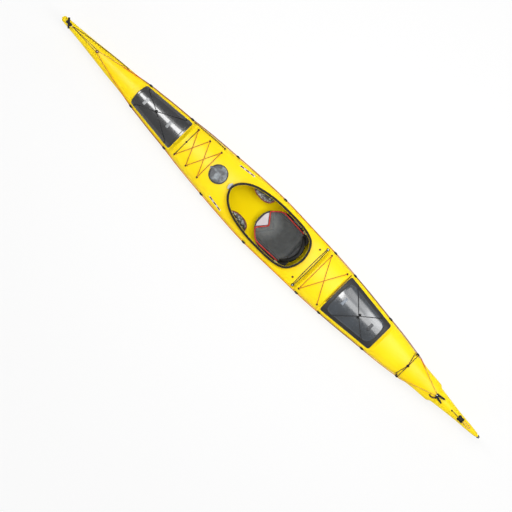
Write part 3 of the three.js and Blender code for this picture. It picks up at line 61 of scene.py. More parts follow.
def add_camera():
    right = Vector((-cos(HEADING), -sin(HEADING), 0))
    up = Vector((sin(HEADING), -cos(HEADING), 0))
    back = Vector((0, 0, 1))
    half = PICTURE / 2
    shift = right * (CENTRE_PIXEL[0] - half) + up * (half - CENTRE_PIXEL[1])
    place = -shift * SCALE / 1000 + back * (FOCUS_HEIGHT + CAMERA_DISTANCE)
    data = bpy.data.cameras.new("camera")
    data.sensor_width = 36
    data.lens = data.sensor_width * CAMERA_DISTANCE / (PICTURE * SCALE / 1000)
    data.clip_start, data.clip_end = 1, 200
    camera = add_object("camera", data)
    camera.matrix_world = Matrix.Translation(place) @ Matrix((right, up, back)).transposed().to_4x4()
    bpy.context.scene.camera = camera


add_camera()

# Sizes and tables of the part, in millimetres

HULL_LENGTH = 5190
BRACKET_PROUD = 18
OVERALL = HULL_LENGTH + BRACKET_PROUD
BEAM = 526
DECK_HEIGHT = 295
WALL = 6
GAP = 0.3
STEM, STERN = 60, 150
COCKPIT_FORE = 0.4049
COCKPIT_LENGTH, COCKPIT_WIDTH = 0.176 * HULL_LENGTH, 0.8365 * BEAM
COCKPIT_AFT = COCKPIT_FORE * HULL_LENGTH + COCKPIT_LENGTH
RIM_THICK, RIM_OVERHANG, RISER_WALL, RISER_REACH = 9, 17, 5, 100
DAY_SHARE, DAY_RADIUS, DAY_RING, DAY_BORE = 0.3752, 81, 88, 67
DAY_RING_HEIGHT, DAY_LID_HEIGHT = 8, 17
FLANGE, NECK_WALL = 8, 4
LID_WALL, LID_SKIRT, LID_EDGE, HATCH_CORNER = 4, 6, 13, 20
BOW_HATCH = dict(
    fore=0.1782, aft=0.284, fore_width=0.399 * BEAM, aft_width=0.593 * BEAM, bow=26, border=24, corner=20,
    crown=8, ball=0.45, cords=(0.12, 0.88), bars=(0.215, 0.735),
)  # fmt: skip
STERN_HATCH = dict(
    fore=0.657, aft=0.7645, fore_width=0.77 * BEAM, aft_width=0.555 * BEAM, bow=6, border=38, corner=70,
    crown=9, ball=0.525, cords=(0.22, 0.8), bars=(0.2, 0.77),
)  # fmt: skip
BAR_WIDTH, BAR_HEIGHT, BAR_SPAN = 28, 5, 74
LINE_RADIUS, BUNGEE_RADIUS, THIN_RADIUS = 4, 3.25, 2
LINE_LIFT, BUNGEE_LIFT, CORD_RISE = 2, 3, 3
BALL_RADIUS, BEAD_RADIUS = 15, 8
SEAT_LENGTH, SEAT_WIDTH, SEAT_WALL = 470, 396, 5
SEAT_FORE = COCKPIT_AFT - 80 - SEAT_LENGTH
SEAT_FLOOR, SEAT_FRONT, SEAT_SIDE, SEAT_BACK, SEAT_CORNER = 34, 46, 52, 30, 60
CUSHION_SHARES = [(0.25, 0), (0.08, 0.5), (0.25, 0.9), (0.93, 0.83)]
CUSHION_THICK, CUSHION_CORNER, CUSHION_NOTCH, CHANNEL_INSET, CHANNEL_WIDTH = 24, 45, 15, 26, 14
BACK_RADIUS = SEAT_WIDTH / 2 - SEAT_WALL - GAP - 5
BACK_SPAN, BACK_LOW, BACK_HIGH, BACK_DROP, BACK_SHELL, BACK_PAD, BACK_ARM = 130, 128, 246, 62, 5, 38, 26
HINGE = (OVERALL / 2 - (COCKPIT_AFT - 17 - 5 - 23 - BACK_RADIUS - BACK_SHELL), BACK_RADIUS + BACK_SHELL, 112)
EAR_LENGTH, EAR_HEIGHT, EAR_THICK, PIN_RADIUS = 60, 132, 5, 5
BRACE_FORE, BRACE_LENGTH = 0.161 * COCKPIT_LENGTH, 0.237 * COCKPIT_LENGTH
BRACE_EDGE = [(0, 0.72), (0.1, 0.62), (0.3, 0.55), (0.55, 0.54), (0.76, 0.58), (0.92, 0.69), (1, 0.9)]

STATIONS = [
    0, 0.003, 0.008, 0.016, 0.026, 0.038, 0.055, 0.085, 0.125, 0.168, 0.176, 0.21, 0.25, 0.285, 0.2915, 0.325,
    0.36, 0.395, 0.42, 0.45, 0.475, 0.5, 0.525, 0.55, 0.57, 0.583, 0.5995, 0.606, 0.6525, 0.6565, 0.69, 0.73,
    0.7655, 0.7715, 0.8, 0.83, 0.865, 0.895, 0.9005, 0.93, 0.951, 0.9705, 0.985, 1,
]  # fmt: skip
HALF_BEAM = [
    (0, 0.055), (0.0034, 0.1), (0.0187, 0.128), (0.0526, 0.19), (0.0865, 0.266), (0.1204, 0.342),
    (0.1543, 0.403), (0.1882, 0.483), (0.2391, 0.608), (0.29, 0.703), (0.3238, 0.779), (0.3747, 0.863),
    (0.4256, 0.943), (0.4764, 0.995), (0.4934, 1), (0.5103, 0.998), (0.5443, 0.989), (0.578, 0.962),
    (0.612, 0.925), (0.663, 0.86), (0.697, 0.807), (0.731, 0.738), (0.765, 0.668), (0.799, 0.592),
    (0.8325, 0.492), (0.866, 0.407), (0.895, 0.361), (0.9005, 0.293), (0.917, 0.247), (0.951, 0.1635),
    (0.985, 0.103), (1, 0.065),
]  # fmt: skip
RIDGE = [
    (0, 0.949), (0.005, 0.973), (0.0187, 0.973), (0.0526, 0.956), (0.0916, 0.919), (0.1204, 0.902),
    (0.168, 0.902), (0.176, 0.868), (0.285, 0.868), (0.2915, 0.988), (0.3553, 0.997), (0.395, 0.95),
    (0.42, 0.925), (0.47, 0.905), (0.53, 0.85), (0.57, 0.8), (0.583, 0.766), (0.5995, 0.766), (0.606, 0.99),
    (0.6525, 1), (0.6565, 0.905), (0.7655, 0.905), (0.7715, 0.98), (0.8, 0.976), (0.9, 0.967), (1, 0.966),
]  # fmt: skip
SEAM = [
    (0, 0.9), (0.02, 0.8), (0.055, 0.71), (0.1, 0.65), (0.18, 0.6), (0.27, 0.57), (0.37, 0.56),
    (0.487, 0.56), (0.62, 0.6), (0.67, 0.61), (0.77, 0.645), (0.845, 0.685), (0.897, 0.71), (0.95, 0.74),
    (1, 0.78),
]  # fmt: skip
KEEL = [
    (0, 0.83), (0.002, 0.77), (0.006, 0.644), (0.013, 0.481), (0.02, 0.373), (0.027, 0.288), (0.034, 0.217),
    (0.041, 0.17), (0.055, 0.108), (0.075, 0.079), (0.153, 0.051), (0.237, 0.0356), (0.372, 0.018),
    (0.45, 0), (0.55, 0), (0.625, 0.0356), (0.695, 0.078), (0.765, 0.112), (0.827, 0.1525), (0.896, 0.207),
    (0.967, 0.244), (0.9705, 0.25), (0.985, 0.44), (1, 0.658),
]  # fmt: skip
RIM_HEIGHT = [(0.4, 1.076), (0.409, 1.075), (0.45, 1.045), (0.507, 0.99), (0.527, 0.945), (0.56, 0.93), (0.581, 0.925)]
FULLNESS = [(0, 0), (0.05, 0.05), (0.25, 0.7), (0.4, 1), (0.62, 1), (0.8, 0.7), (0.9, 0.4), (1, 0.1)]
ROUND_HULL = [(1, 1), (0.965, 0.5), (0.885, 0.24), (0.7, 0.075), (0.32, 0), (0, 0)]
VEE_HULL = [(1, 1), (0.86, 0.68), (0.68, 0.42), (0.45, 0.2), (0.22, 0.06), (0, 0)]
CROWN_POWER, CROWN_ROUND = 2.2, 0.345
COAMING = [
    (0, 0), (0.0166, 0.24), (0.0506, 0.44), (0.104, 0.62), (0.17, 0.76), (0.25, 0.86), (0.338, 0.932),
    (0.435, 0.98), (0.552, 1), (0.698, 0.992), (0.776, 0.972), (0.854, 0.905), (0.917, 0.79), (0.966, 0.545),
    (1, 0),
]  # fmt: skip
LINE_FITTINGS = [
    (0.1882, 0.7), (0.278, 0.68), (0.378, 0.66), (0.4866, 0.66), (0.6104, 0.7), (0.6612, 0.69),
    (0.756, 0.72), (0.8308, 0.755),
]  # fmt: skip
LINE_BOW = [(0.0845, 0.16), (0.11, 0.5), (0.145, 0.8)]
LINE_STERN = [
    (0.8385, 0.97), (0.845, 0.92), (0.851, 0.85), (0.8575, 0.77), (0.866, 0.66), (0.877, 0.5), (0.892, 0.24),
    (0.9015, 0.11),
]  # fmt: skip
BOW_CORD = [(0.0228, 0.04), (0.04, 0.05), (0.052, 0.1), (0.082, 0.14)]
STERN_CORD = [
    (0.938, 0), (0.95, 0), (0.9585, 0), (0.967, 0.22), (0.976, 0.26), (0.9815, 0), (0.976, -0.26), (0.967, -0.22),
]
# Places of a brown cord along the starboard edge near the bow, on that side only: a painted shadow where the edge lies
# in shade.
EDGE_SHADOW_LINE = [
    (0.0238, -0.06), (0.031, -0.27), (0.042, -0.5), (0.055, -0.66), (0.085, -0.8), (0.119, -0.86), (0.142, -0.88),
]
SIDE_LINE = [(0.284, -0.93), (0.306, -0.925), (0.33, -0.915), (0.3525, -0.9)]
HOOK_LINE = [(0.892, 0.42), (0.8955, 0.47), (0.9, 0.44), (0.9035, 0.28)]
FORE_EYES = [(0.2985, 0.79), (0.3256, 0.73), (0.3532, 0.7)]
AFT_EYES = [(0.6087, 0.83), (0.6495, 0.81)]
PADDLE_EYE, CROSS_EYE, CROSS_BALL = (0.597, 0.88), (0.829, 0.91), 0.8317
BOW_LOOP, CLEAT, STERN_TOGGLE, STERN_BEAD = 0.083, 0.9, 0.9585, 0.938
TOGGLE_BEAD, DECK_SCREW, HATCH_EDGE, RIM_GLINT_HALF = 0.0229, (0.5872, 0.68), 0.6562, 38
HULL_SCREWS, HULL_SCREW_HEIGHT = (1579, 1736, 1871), 102
STRIP_ENDS, STRIP_ACROSS, STRIP_BANDS = (2027, 2186), (192, 214), ((0.04, 0.26), (0.4, 0.6), (0.74, 0.94))
END_REACH, HOLLOW_EXTRA, HOLLOW_STEP = 16, 30, 0.008
VOXEL, PRESSURE, CLOTH_FRAMES = 5, 4, 20
SIDES = (("port", 1), ("starboard", -1))


def smooth_table(pairs):
    xs, ys = [p[0] for p in pairs], [p[1] for p in pairs]
    rises = [(ys[i + 1] - ys[i]) / (xs[i + 1] - xs[i]) for i in range(len(xs) - 1)]
    slopes = [rises[0]]
    for before, after in zip(rises, rises[1:]):
        slopes.append(0 if before * after <= 0 else 2 * before * after / (before + after))
    slopes.append(rises[-1])

    def at(share):
        x = min(max(share, xs[0]), xs[-1])
        i = 0
        while i < len(xs) - 2 and x > xs[i + 1]:
            i += 1
        span = xs[i + 1] - xs[i]
        u = (x - xs[i]) / span
        low = (1 + 2 * u) * (1 - u) ** 2 * ys[i] + u * (1 - u) ** 2 * span * slopes[i]
        high = u * u * (3 - 2 * u) * ys[i + 1] + u * u * (u - 1) * span * slopes[i + 1]
        return low + high

    return at

def along_hull(table, size=1):
    curve = smooth_table(table)
    return lambda aft: curve(aft / HULL_LENGTH) * size


half_beam, fullness = along_hull(HALF_BEAM, BEAM / 2), along_hull(FULLNESS)
ridge, seam, keel, rim_top = (along_hull(table, DECK_HEIGHT) for table in (RIDGE, SEAM, KEEL, RIM_HEIGHT))


def x_at(aft):
    """X at a distance behind the bow. The same sum leads back."""
    return OVERALL / 2 - aft


aft_at = x_at


def aft_of(share):
    return share * HULL_LENGTH


def crown(share):
    return max(1 - abs(share) ** CROWN_POWER, 0) ** CROWN_ROUND


def deck_z(aft, y, out=0.0):
    """Height of the deck's skin at a place, or of a skin that stands off it by out."""
    base = seam(aft) + (GAP if out else 0)
    return base + (ridge(aft) + out - base) * crown(y / (half_beam(aft) + out))


def deck_side(aft, z):
    base = seam(aft)
    rise = min(max((z - base) / (ridge(aft) - base), 0), 1)
    return half_beam(aft) * (1 - rise ** (1 / CROWN_ROUND)) ** (1 / CROWN_POWER)


# Mesh helpers


def finished(name, mesh, work):
    bmesh.ops.recalc_face_normals(work, faces=work.faces)
    work.to_mesh(mesh)
    work.free()
    return add_object(name, mesh)


def bare(name, verts, faces):
    """An object from vertices in millimetres, welded, its faces turned outward."""
    mesh = bpy.data.meshes.new(name)
    mesh.from_pydata([[c / 1000 for c in v] for v in verts], [], faces)
    work = bmesh.new()
    work.from_mesh(mesh)
    bmesh.ops.remove_doubles(work, verts=work.verts, dist=2e-6)
    bmesh.ops.dissolve_degenerate(work, dist=1e-7, edges=work.edges)
    return finished(name, mesh, work)


def dressed(obj, slot, material, replaces=(), sharp=38.0, body="shell"):
    """Smooth shading, a finish in a material slot and the body that the piece rides on. The slot argument is not used.
    """
    obj.data.shade_smooth()
    obj.data.set_sharp_from_angle(angle=radians(sharp))
    obj.data.materials.clear()
    obj.data.materials.append(material)
    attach(obj, body)
    if replaces:
        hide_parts(*replaces)
    return obj


def strip_faces(rings, closed=False):
    count, faces = len(rings[0]), []
    for i in range(len(rings) if closed else len(rings) - 1):
        n = (i + 1) % len(rings) * count
        for j in range(count):
            m = (j + 1) % count
            faces.append((i * count + j, i * count + m, n + m, n + j))
    return faces


def loft(name, rings, closed=False):
    """A body through rings of equal count: closed on its first ring, or with flat ends."""
    verts = [v for ring in rings for v in ring]
    faces, count = strip_faces(rings, closed), len(rings[0])
    if not closed:
        faces += [tuple(range(count)), tuple(range(len(verts) - count, len(verts)))]
    return bare(name, verts, faces)


def skin(name, loops):
    """A body from loops whose first and last ones are drawn in to a line or a point."""
    return bare(name, [v for loop in loops for v in loop], strip_faces(loops))


def evaluated(obj):
    """Applies the object's modifiers."""
    bpy.context.view_layer.update()
    graph = bpy.context.evaluated_depsgraph_get()
    mesh = bpy.data.meshes.new_from_object(obj.evaluated_get(graph))
    obj.modifiers.clear()
    obj.data = mesh


def combine(target, other, operation="DIFFERENCE"):
    modifier = target.modifiers.new("combine", "BOOLEAN")
    modifier.object, modifier.operation, modifier.solver = other, operation, "EXACT"
    evaluated(target)
    bpy.data.objects.remove(other)

def bevel(obj, width):
    modifier = obj.modifiers.new("bevel", "BEVEL")
    modifier.width, modifier.segments = width / 1000, 3
    modifier.limit_method, modifier.angle_limit = "ANGLE", radians(35)
    modifier.harden_normals = False
    return obj


def lerp(a, b, t):
    return a + (b - a) * t


def mix(p, q, t):
    return tuple(lerp(a, b, t) for a, b in zip(p, q))

def between(a, b, start, end, t):
    return a * ((end - t) / (end - start)) + b * ((t - start) / (end - start))


def through(points, per=8, closed=False):
    """A smooth curve through points, with a number of steps for each span."""
    pts = [Vector(p) for p in points]
    n, out = len(pts), []
    for i in range(n if closed else n - 1):
        p1, p2 = pts[i], pts[(i + 1) % n]
        p0 = pts[i - 1] if closed or i > 0 else p1 * 2 - p2
        p3 = pts[(i + 2) % n] if closed or i + 2 < n else p2 * 2 - p1
        t1 = max((p1 - p0).length, 1e-6) ** 0.5
        t2 = t1 + max((p2 - p1).length, 1e-6) ** 0.5
        t3 = t2 + max((p3 - p2).length, 1e-6) ** 0.5
        for k in range(per):
            t = t1 + (t2 - t1) * k / per
            a1, a2 = between(p0, p1, 0, t1, t), between(p1, p2, t1, t2, t)
            a3 = between(p2, p3, t2, t3, t)
            out.append(between(between(a1, a2, 0, t2, t), between(a2, a3, t1, t3, t), t1, t2, t))
    return out if closed else out + [pts[-1]]


def spaced(points, count, closed=True):
    """Points evenly spaced along a polyline."""
    pts = [Vector(p) for p in points]
    if closed:
        pts = pts + [pts[0]]
    lengths = [0.0]
    for a, b in zip(pts, pts[1:]):
        lengths.append(lengths[-1] + (b - a).length)
    out, i = [], 0
    for k in range(count):
        d = lengths[-1] * k / (count if closed else count - 1)
        while i < len(pts) - 2 and lengths[i + 1] < d:
            i += 1
        span = max(lengths[i + 1] - lengths[i], 1e-9)
        out.append(pts[i].lerp(pts[i + 1], (d - lengths[i]) / span))
    return out


def rounded_outline(corners, steps=12):
    """An outline whose corners, given as x, y and reach, are rounded."""
    out = []
    for i, (x, y, r) in enumerate(corners):
        point = Vector((x, y))
        before, after = Vector(corners[i - 1][:2]), Vector(corners[(i + 1) % len(corners)][:2])
        start = point + (before - point).normalized() * r
        end = point + (after - point).normalized() * r
        for k in range(steps + 1):
            t = k / steps
            out.append(start * (1 - t) ** 2 + point * (2 * t * (1 - t)) + end * t**2)
    return out

def flat(points):
    return [(p.x, p.y) for p in points]


def raised(outline, height):
    """An outline's points, each at the height that a function gives."""
    return [(x, y, height(x, y)) for x, y in outline]


def drawn_in(outline, line, shares, height):
    """Loops of an outline drawn in to a line by shares, at the height that a function gives."""
    return [raised([mix(p, q, t) for p, q in zip(outline, line)], height) for t in shares]


def rolled(outline_at, inset, edge, turns, height):
    """Loops over a rounded upper edge, from the wall to the top."""
    loops = []
    for turn in map(radians, turns):
        outline = outline_at(inset + edge * (1 - cos(turn)))
        loops.append(raised(outline, lambda x, y: height(x, y) - edge * (1 - sin(turn))))
    return loops


def circle(x, radius, count=72, y=0):
    angles = [2 * pi * k / count for k in range(count)]
    return [(x + radius * cos(a), y + radius * sin(a)) for a in angles]


def cord(name, points, radius, slot, material, replaces=(), body="shell"):
    """A round cord along points, with a map whose V runs along it in metres."""
    pts = [Vector(p) for p in points]
    last, sides, ends = len(pts) - 1, 12, [(-0.5, 0.4), (-0.3, 0.8)]
    side = (pts[1] - pts[0]).normalized().cross(Vector((0, 0, 1)))
    if side.length < 0.1:
        side = (pts[1] - pts[0]).normalized().cross(Vector((0, 1, 0)))
    side.normalize()
    rows, run = [], 0.0
    for i, p in enumerate(pts):
        t = (pts[min(i + 1, last)] - pts[max(i - 1, 0)]).normalized()
        side = (side - t * side.dot(t)).normalized()
        run += (p - pts[i - 1]).length if i else 0
        row = [(p + t * a * radius, b) for a, b in ends if i == 0] + [(p, 1)]
        row += [(p - t * a * radius, b) for a, b in reversed(ends) if i == last]
        rows += [(place, side, t, radius * b, run) for place, b in row]
    mesh = bpy.data.meshes.new(name)
    work = bmesh.new()
    layer = work.loops.layers.uv.new("UVMap")
    rings = []
    for p, s, t, r, _ in rows:
        ways = [s * cos(a) + t.cross(s) * sin(a) for a in (2 * pi * k / sides for k in range(sides))]
        rings.append([work.verts.new((p + way * r) / 1000) for way in ways])
    for i, (near, far) in enumerate(zip(rings, rings[1:])):
        low, high = rows[i][4] / 1000, rows[i + 1][4] / 1000
        for k in range(sides):
            m = (k + 1) % sides
            face = work.faces.new((near[k], near[m], far[m], far[k]))
            for loop, (u, v) in zip(face.loops, ((k, low), (k + 1, low), (k + 1, high), (k, high))):
                loop[layer].uv = (u / sides, v)
    work.faces.new(rings[0][::-1])
    work.faces.new(rings[-1])
    return dressed(finished(name, mesh, work), slot, material, replaces, 60, body)


def turned_rings(profile, sides, wave=0.0, waves=0):
    """Rings of a body turned about Z from radius and height pairs, its wall rippled by wave."""
    angles = [2 * pi * k / sides for k in range(sides)]
    rings = []
    for radius, height in profile:
        reach = [max(radius - wave * (0.5 + 0.5 * cos(waves * a)), 0) for a in angles]
        rings.append([(r * cos(a), r * sin(a), height) for r, a in zip(reach, angles)])
    return rings


def along_normal(rings, point, normal):
    """Rings moved from the origin to a point, their axis turned from Z to a normal."""
    turn = Vector((0, 0, 1)).rotation_difference(Vector(normal))
    return [[tuple(Vector(point) + turn @ Vector(v)) for v in ring] for ring in rings]


def on_deck(share, across, lift=0.0):
    """A point over the deck's skin and the skin's normal there."""
    aft = aft_of(share)
    y = across * half_beam(aft)
    slope = (deck_z(aft, y + WALL) - deck_z(aft, y - WALL)) / (2 * WALL)
    normal = Vector((0, -slope, 1)).normalized()
    return Vector((x_at(aft), y, deck_z(aft, y))) + normal * lift, normal


# Materials


def nodes_of(name):
    material = bpy.data.materials.new(name)
    material.use_nodes = True
    tree = material.node_tree
    return material, tree, tree.nodes["Principled BSDF"], object_space(tree)


def object_space(tree, output="Object"):
    return tree.nodes.new("ShaderNodeTexCoord").outputs[output]


def linear(color):
    out = []
    for c in color:
        c = c / 255
        out.append(c / 12.92 if c <= 0.04045 else ((c + 0.055) / 1.055) ** 2.4)
    return (*out, 1)

def feed(tree, made, inputs):
    """Links a node's inputs to sockets, or gives them values."""
    for key, value in inputs.items():
        if isinstance(value, bpy.types.NodeSocket):
            tree.links.new(value, made.inputs[key])
        else:
            made.inputs[key].default_value = value


def node(tree, kind, output, inputs, **settings):
    """A new node's output."""
    made = tree.nodes.new("ShaderNode" + kind)
    for key, value in settings.items():
        setattr(made, key, value)
    feed(tree, made, inputs)
    return made.outputs[output]


def noise(tree, source, scale, detail=2.0, stretch=None):
    if stretch:
        source = node(tree, "Mapping", "Vector", {"Scale": stretch, "Vector": source})
    return node(tree, "TexNoise", "Fac", {"Scale": scale, "Detail": detail, "Vector": source})


def ramp(tree, source, *stops):
    """A colour that follows a value through stops of place and colour."""
    made = tree.nodes.new("ShaderNodeValToRGB")
    elements = made.color_ramp.elements
    for _ in stops[2:]:
        elements.new(0.5)
    for element, (place, colour) in zip(elements, stops):
        element.position, element.color = place, colour
    feed(tree, made, {"Fac": source})
    return made.outputs["Color"]


def drifting(tree, source, dark, light, low=0.3, high=0.7):
    return ramp(tree, source, (low, linear(dark)), (high, linear(light)))


def ranged(tree, source, low, high):
    inputs = {"From Min": 0.3, "From Max": 0.7, "To Min": low, "To Max": high, "Value": source}
    return node(tree, "MapRange", "Result", inputs)


def maths(tree, operation, *values):
    return node(tree, "Math", "Value", dict(enumerate(values)), operation=operation)


def axis(tree, name, source=None):
    return node(tree, "SeparateXYZ", name, {"Vector": source or object_space(tree)})


def blended(tree, first, second, factor, blend="MIX"):
    inputs = {"Factor": factor, "A": first, "B": second}
    return node(tree, "Mix", "Result", inputs, data_type="RGBA", blend_type=blend)


def bumped(tree, shader, height, strength, distance):
    inputs = {"Strength": strength, "Distance": distance, "Height": height}
    feed(tree, shader, {"Normal": node(tree, "Bump", "Normal", inputs)})


def plastic(name, dark, light, rough, grain=900, strength=0.08, patch=9, metallic=0, coat=0, shine=0.3):
    """Moulded plastic, rubber or metal: slow colour drift, uneven gloss and a fine surface grain."""
    material, tree, shader, place = nodes_of(name)
    spread = 0.06
    looks = {
        "Base Color": drifting(tree, noise(tree, place, patch, 4), dark, light),
        "Roughness": ranged(tree, noise(tree, place, patch * 5, 3), max(rough - spread, 0.02), rough + spread),
        "Metallic": metallic, "Coat Weight": coat, "Coat Roughness": 0.08, "Specular IOR Level": shine,
    }  # fmt: skip
    feed(tree, shader, looks)
    bumped(tree, shader, noise(tree, place, grain), strength, 0.0006)
    return material


def braided(name, first, second, fleck=0.5, pitch=0.012):
    """A braided cord: two sets of five strands that cross, some of them in the second colour."""
    material, tree, shader, place = nodes_of(name)
    turns = {"X": 5, "Y": 1 / pitch}
    around, along = (
        maths(tree, "MULTIPLY", axis(tree, a, object_space(tree, "UV")), 2 * pi * n) for a, n in turns.items()
    )
    one, two = (maths(tree, "SINE", maths(tree, way, around, along)) for way in ("ADD", "SUBTRACT"))
    height = maths(tree, "MULTIPLY", maths(tree, "ADD", one, 1), maths(tree, "ADD", two, 1))
    which = maths(tree, "ADD", maths(tree, "MULTIPLY", one, 0.25), noise(tree, place, 320, 3))
    colour = drifting(tree, which, first, second, fleck - 0.12, fleck + 0.12)
    feed(tree, shader, {"Base Color": colour, "Roughness": 0.75})
    bumped(tree, shader, height, 0.6, 0.0008)
    return material


def painted_shade_and_tone(material, *stops, centre=(0.06, 0)):
    """Multiplies a material's base colour by a factor that follows the distance from a point of the seat: painted
    light and shade on the cushion, two tones on the backrest pad.
    """
    tree = material.node_tree
    shader = tree.nodes["Principled BSDF"]
    parts = [maths(tree, "POWER", maths(tree, "SUBTRACT", axis(tree, a), c), 2) for a, c in zip("XY", centre)]
    reach = maths(tree, "MULTIPLY", maths(tree, "SQRT", maths(tree, "ADD", *parts)), 2)
    half = ramp(tree, reach, *[(2 * place, (value / 2, value / 2, value / 2, 1)) for place, value in stops])
    factor = node(tree, "VectorMath", "Vector", {0: half, "Scale": 2}, operation="SCALE")
    base = shader.inputs["Base Color"].links[0].from_socket
    feed(tree, shader, {"Base Color": blended(tree, base, factor, 1, "MULTIPLY")})


def glinting(name, dark, light, scale=62, low=0.53, high=0.68):
    """A dark textured surface with scattered pale glints."""
    material, tree, shader, place = nodes_of(name)
    feed(tree, shader, {"Base Color": drifting(tree, noise(tree, place, scale, 3), dark, light, low, high)})
    feed(tree, shader, {"Roughness": 0.5})
    bumped(tree, shader, noise(tree, place, 420, 3), 0.6, 0.0012)
    return material


def deck_cord(name, stops):
    """A braided line whose colour changes along the kayak. Stops are pixels of the photograph from the bow."""
    material = braided(name, (160, 90, 30), (60, 30, 14), 0.48, 0.016)
    tree = material.node_tree
    share = maths(tree, "SUBTRACT", 0.5, maths(tree, "DIVIDE", axis(tree, "X"), OVERALL / 1000))
    colours = ramp(tree, share, *[(pixel * SCALE / OVERALL, linear(colour)) for pixel, colour in stops])
    worn = noise(tree, object_space(tree), 320, 3)
    weave = ramp(tree, worn, (0.35, (0.35, 0.35, 0.35, 1)), (0.6, (1, 1, 1, 1)))
    colour = blended(tree, colours, weave, 0.35, "MULTIPLY")
    feed(tree, tree.nodes["Principled BSDF"], {"Base Color": colour})
    return material


def woven(name, dark, light, thread=0.0016):
    """Cloth: threads that cross, with slow colour drift."""
    material, tree, shader, place = nodes_of(name)
    waves = [maths(tree, "SINE", maths(tree, "MULTIPLY", axis(tree, a), 2 * pi / thread)) for a in "XY"]
    weave, fuzz = maths(tree, "MULTIPLY", *waves), noise(tree, place, 1400, 3)
    drift = maths(tree, "MULTIPLY", noise(tree, place, 25, 4), 0.6)
    mixed = maths(tree, "ADD", drift, maths(tree, "MULTIPLY", fuzz, 0.4))
    mixed = maths(tree, "ADD", maths(tree, "MULTIPLY", weave, 0.08), mixed)
    feed(tree, shader, {"Base Color": drifting(tree, mixed, dark, light), "Roughness": 0.9, "Sheen Weight": 0.25})
    bumped(tree, shader, maths(tree, "ADD", weave, fuzz), 0.35, 0.0005)
    return material


def shell_plastic(name, low, high, rough, shine):
    """The yellow shell: deeper in slow patches, with the faint pebble of a moulding and fine scuffs."""
    material, tree, shader, place = nodes_of(name)
    base = drifting(tree, noise(tree, place, 3.5, 3), low, high)
    scuff = noise(tree, place, 60, 6, stretch=(0.15, 2.2, 2.2))
    mark = maths(tree, "MULTIPLY", ramp(tree, scuff, (0.66, (0, 0, 0, 1)), (0.82, (1, 1, 1, 1))), 0.18)
    looks = {
        "Base Color": blended(tree, base, linear((236, 208, 70)), mark),
        "Roughness": ranged(tree, noise(tree, place, 40, 4), rough, rough + 0.08),
        "Specular IOR Level": shine,
    }
    feed(tree, shader, looks)
    bumped(tree, shader, noise(tree, place, 420), 0.03, 0.0005)
    return material


YELLOW = shell_plastic("shell_yellow", (249, 214, 14), (252, 222, 26), 0.3, 0.13)
# The inside is matt, and its yellow is painted a little brighter than the outside's: painted light for the shaded
# inside of the shell.
INSIDE = shell_plastic("shell_inside", (252, 224, 0), (255, 230, 2), 0.6, 0.03)
RIM_BLACK = plastic("coaming_black", (12, 9, 7), (20, 16, 13), 0.5, grain=1200, strength=0.03, shine=0.12)
FRAME_RUBBER = plastic("frame_rubber", (14, 14, 15), (30, 30, 32), 0.5, strength=0.12)
LID_CHARCOAL = plastic("lid_charcoal", (18, 19, 21), (30, 31, 34), 0.24, strength=0.0, coat=0.8, shine=0.2)
LID_SLATE = plastic("lid_slate", (26, 32, 38), (42, 50, 58), 0.24, strength=0.0, coat=0.8, shine=0.3)
# Painted highlights: the pale patches in the round lid's colour stand for the soft highlights on it.
LID_RUBBER = glinting("round_lid_rubber", (38, 41, 45), (150, 158, 162), scale=17, low=0.46, high=0.76)
BAR_GREY = plastic("bar_grey", (120, 122, 124), (168, 170, 172), 0.35)
# The stern hatch's first bar is the same part as its second, painted lighter: a painted highlight for the glint along
# its edge.
BAR_PAINTED_HIGHLIGHT = plastic("bar_slate_painted_highlight", (96, 104, 114), (128, 136, 146), 0.3)
BAR_DARK = plastic("bar_dark", (26, 28, 32), (44, 47, 52), 0.35)
FITTING = plastic("fitting_black", (10, 10, 11), (22, 22, 24), 0.45, strength=0.1, shine=0.15)
EYE_BROWN = plastic("eye_brown", (62, 32, 12), (96, 52, 20), 0.45, strength=0.1, shine=0.2)
STRIP_DARK = plastic("strip_dark", (48, 20, 28), (74, 38, 48), 0.5, shine=0.1)
BEIGE = plastic("beige_webbing", (176, 170, 128), (206, 200, 158), 0.8, grain=700, strength=0.4, shine=0.1)
GLINT = plastic("painted_glint_grey", (120, 124, 128), (150, 154, 158), 0.4)
# A painted highlight: the pale grey of a strip laid on the seat's starboard side where a glint falls.
PINK = plastic("pale_pink", (214, 190, 176), (236, 216, 204), 0.5)
FOAM = plastic("bulkhead_foam", (30, 31, 33), (48, 49, 52), 0.92, grain=260, strength=0.6)
SEAT = plastic("seat_moulding", (18, 18, 20), (34, 35, 38), 0.45, grain=700, strength=0.25)
BACK_GLOSS = plastic("backrest_gloss", (12, 12, 14), (24, 25, 28), 0.18, coat=0.3)
METAL = plastic("stainless", (150, 152, 156), (196, 198, 202), 0.3, metallic=1.0, patch=60)
ALLOY = plastic("rail_alloy", (150, 152, 156), (190, 192, 196), 0.38, metallic=1.0, patch=40)
PATCH = plastic("blank_patch", (196, 190, 200), (222, 218, 226), 0.5)
STRIP = plastic("reflective_strip", (180, 170, 186), (210, 202, 214), 0.4, grain=500, strength=0.3, metallic=0.2)
RUST = braided("rust_cord", (226, 140, 26), (168, 88, 16))
BROWN_CORD = braided("brown_cord", (72, 32, 10), (40, 16, 6), pitch=0.008)
HOOK_RED = braided("hook_red", (74, 18, 12), (40, 8, 6), pitch=0.008)
EDGE_RED = braided("edge_red", (130, 12, 4), (80, 6, 4), pitch=0.008)
DARK_CORD = braided("dark_cord", (52, 52, 54), (20, 20, 22))
PALE_CORD = braided("pale_cord", (226, 178, 128), (180, 130, 84), pitch=0.008)
LINE_PORT = deck_cord(
    "deck_line_port",
    [(49, (232, 180, 40)), (70, (226, 150, 30)), (104, (214, 124, 20)), (110, (160, 72, 2)), (168, (160, 72, 2)),
     (172, (224, 140, 20)), (386, (214, 128, 20)), (392, (128, 66, 18)), (450, (150, 78, 24)), (455, (214, 150, 40)),
     (505, (228, 180, 50))],
)  # fmt: skip
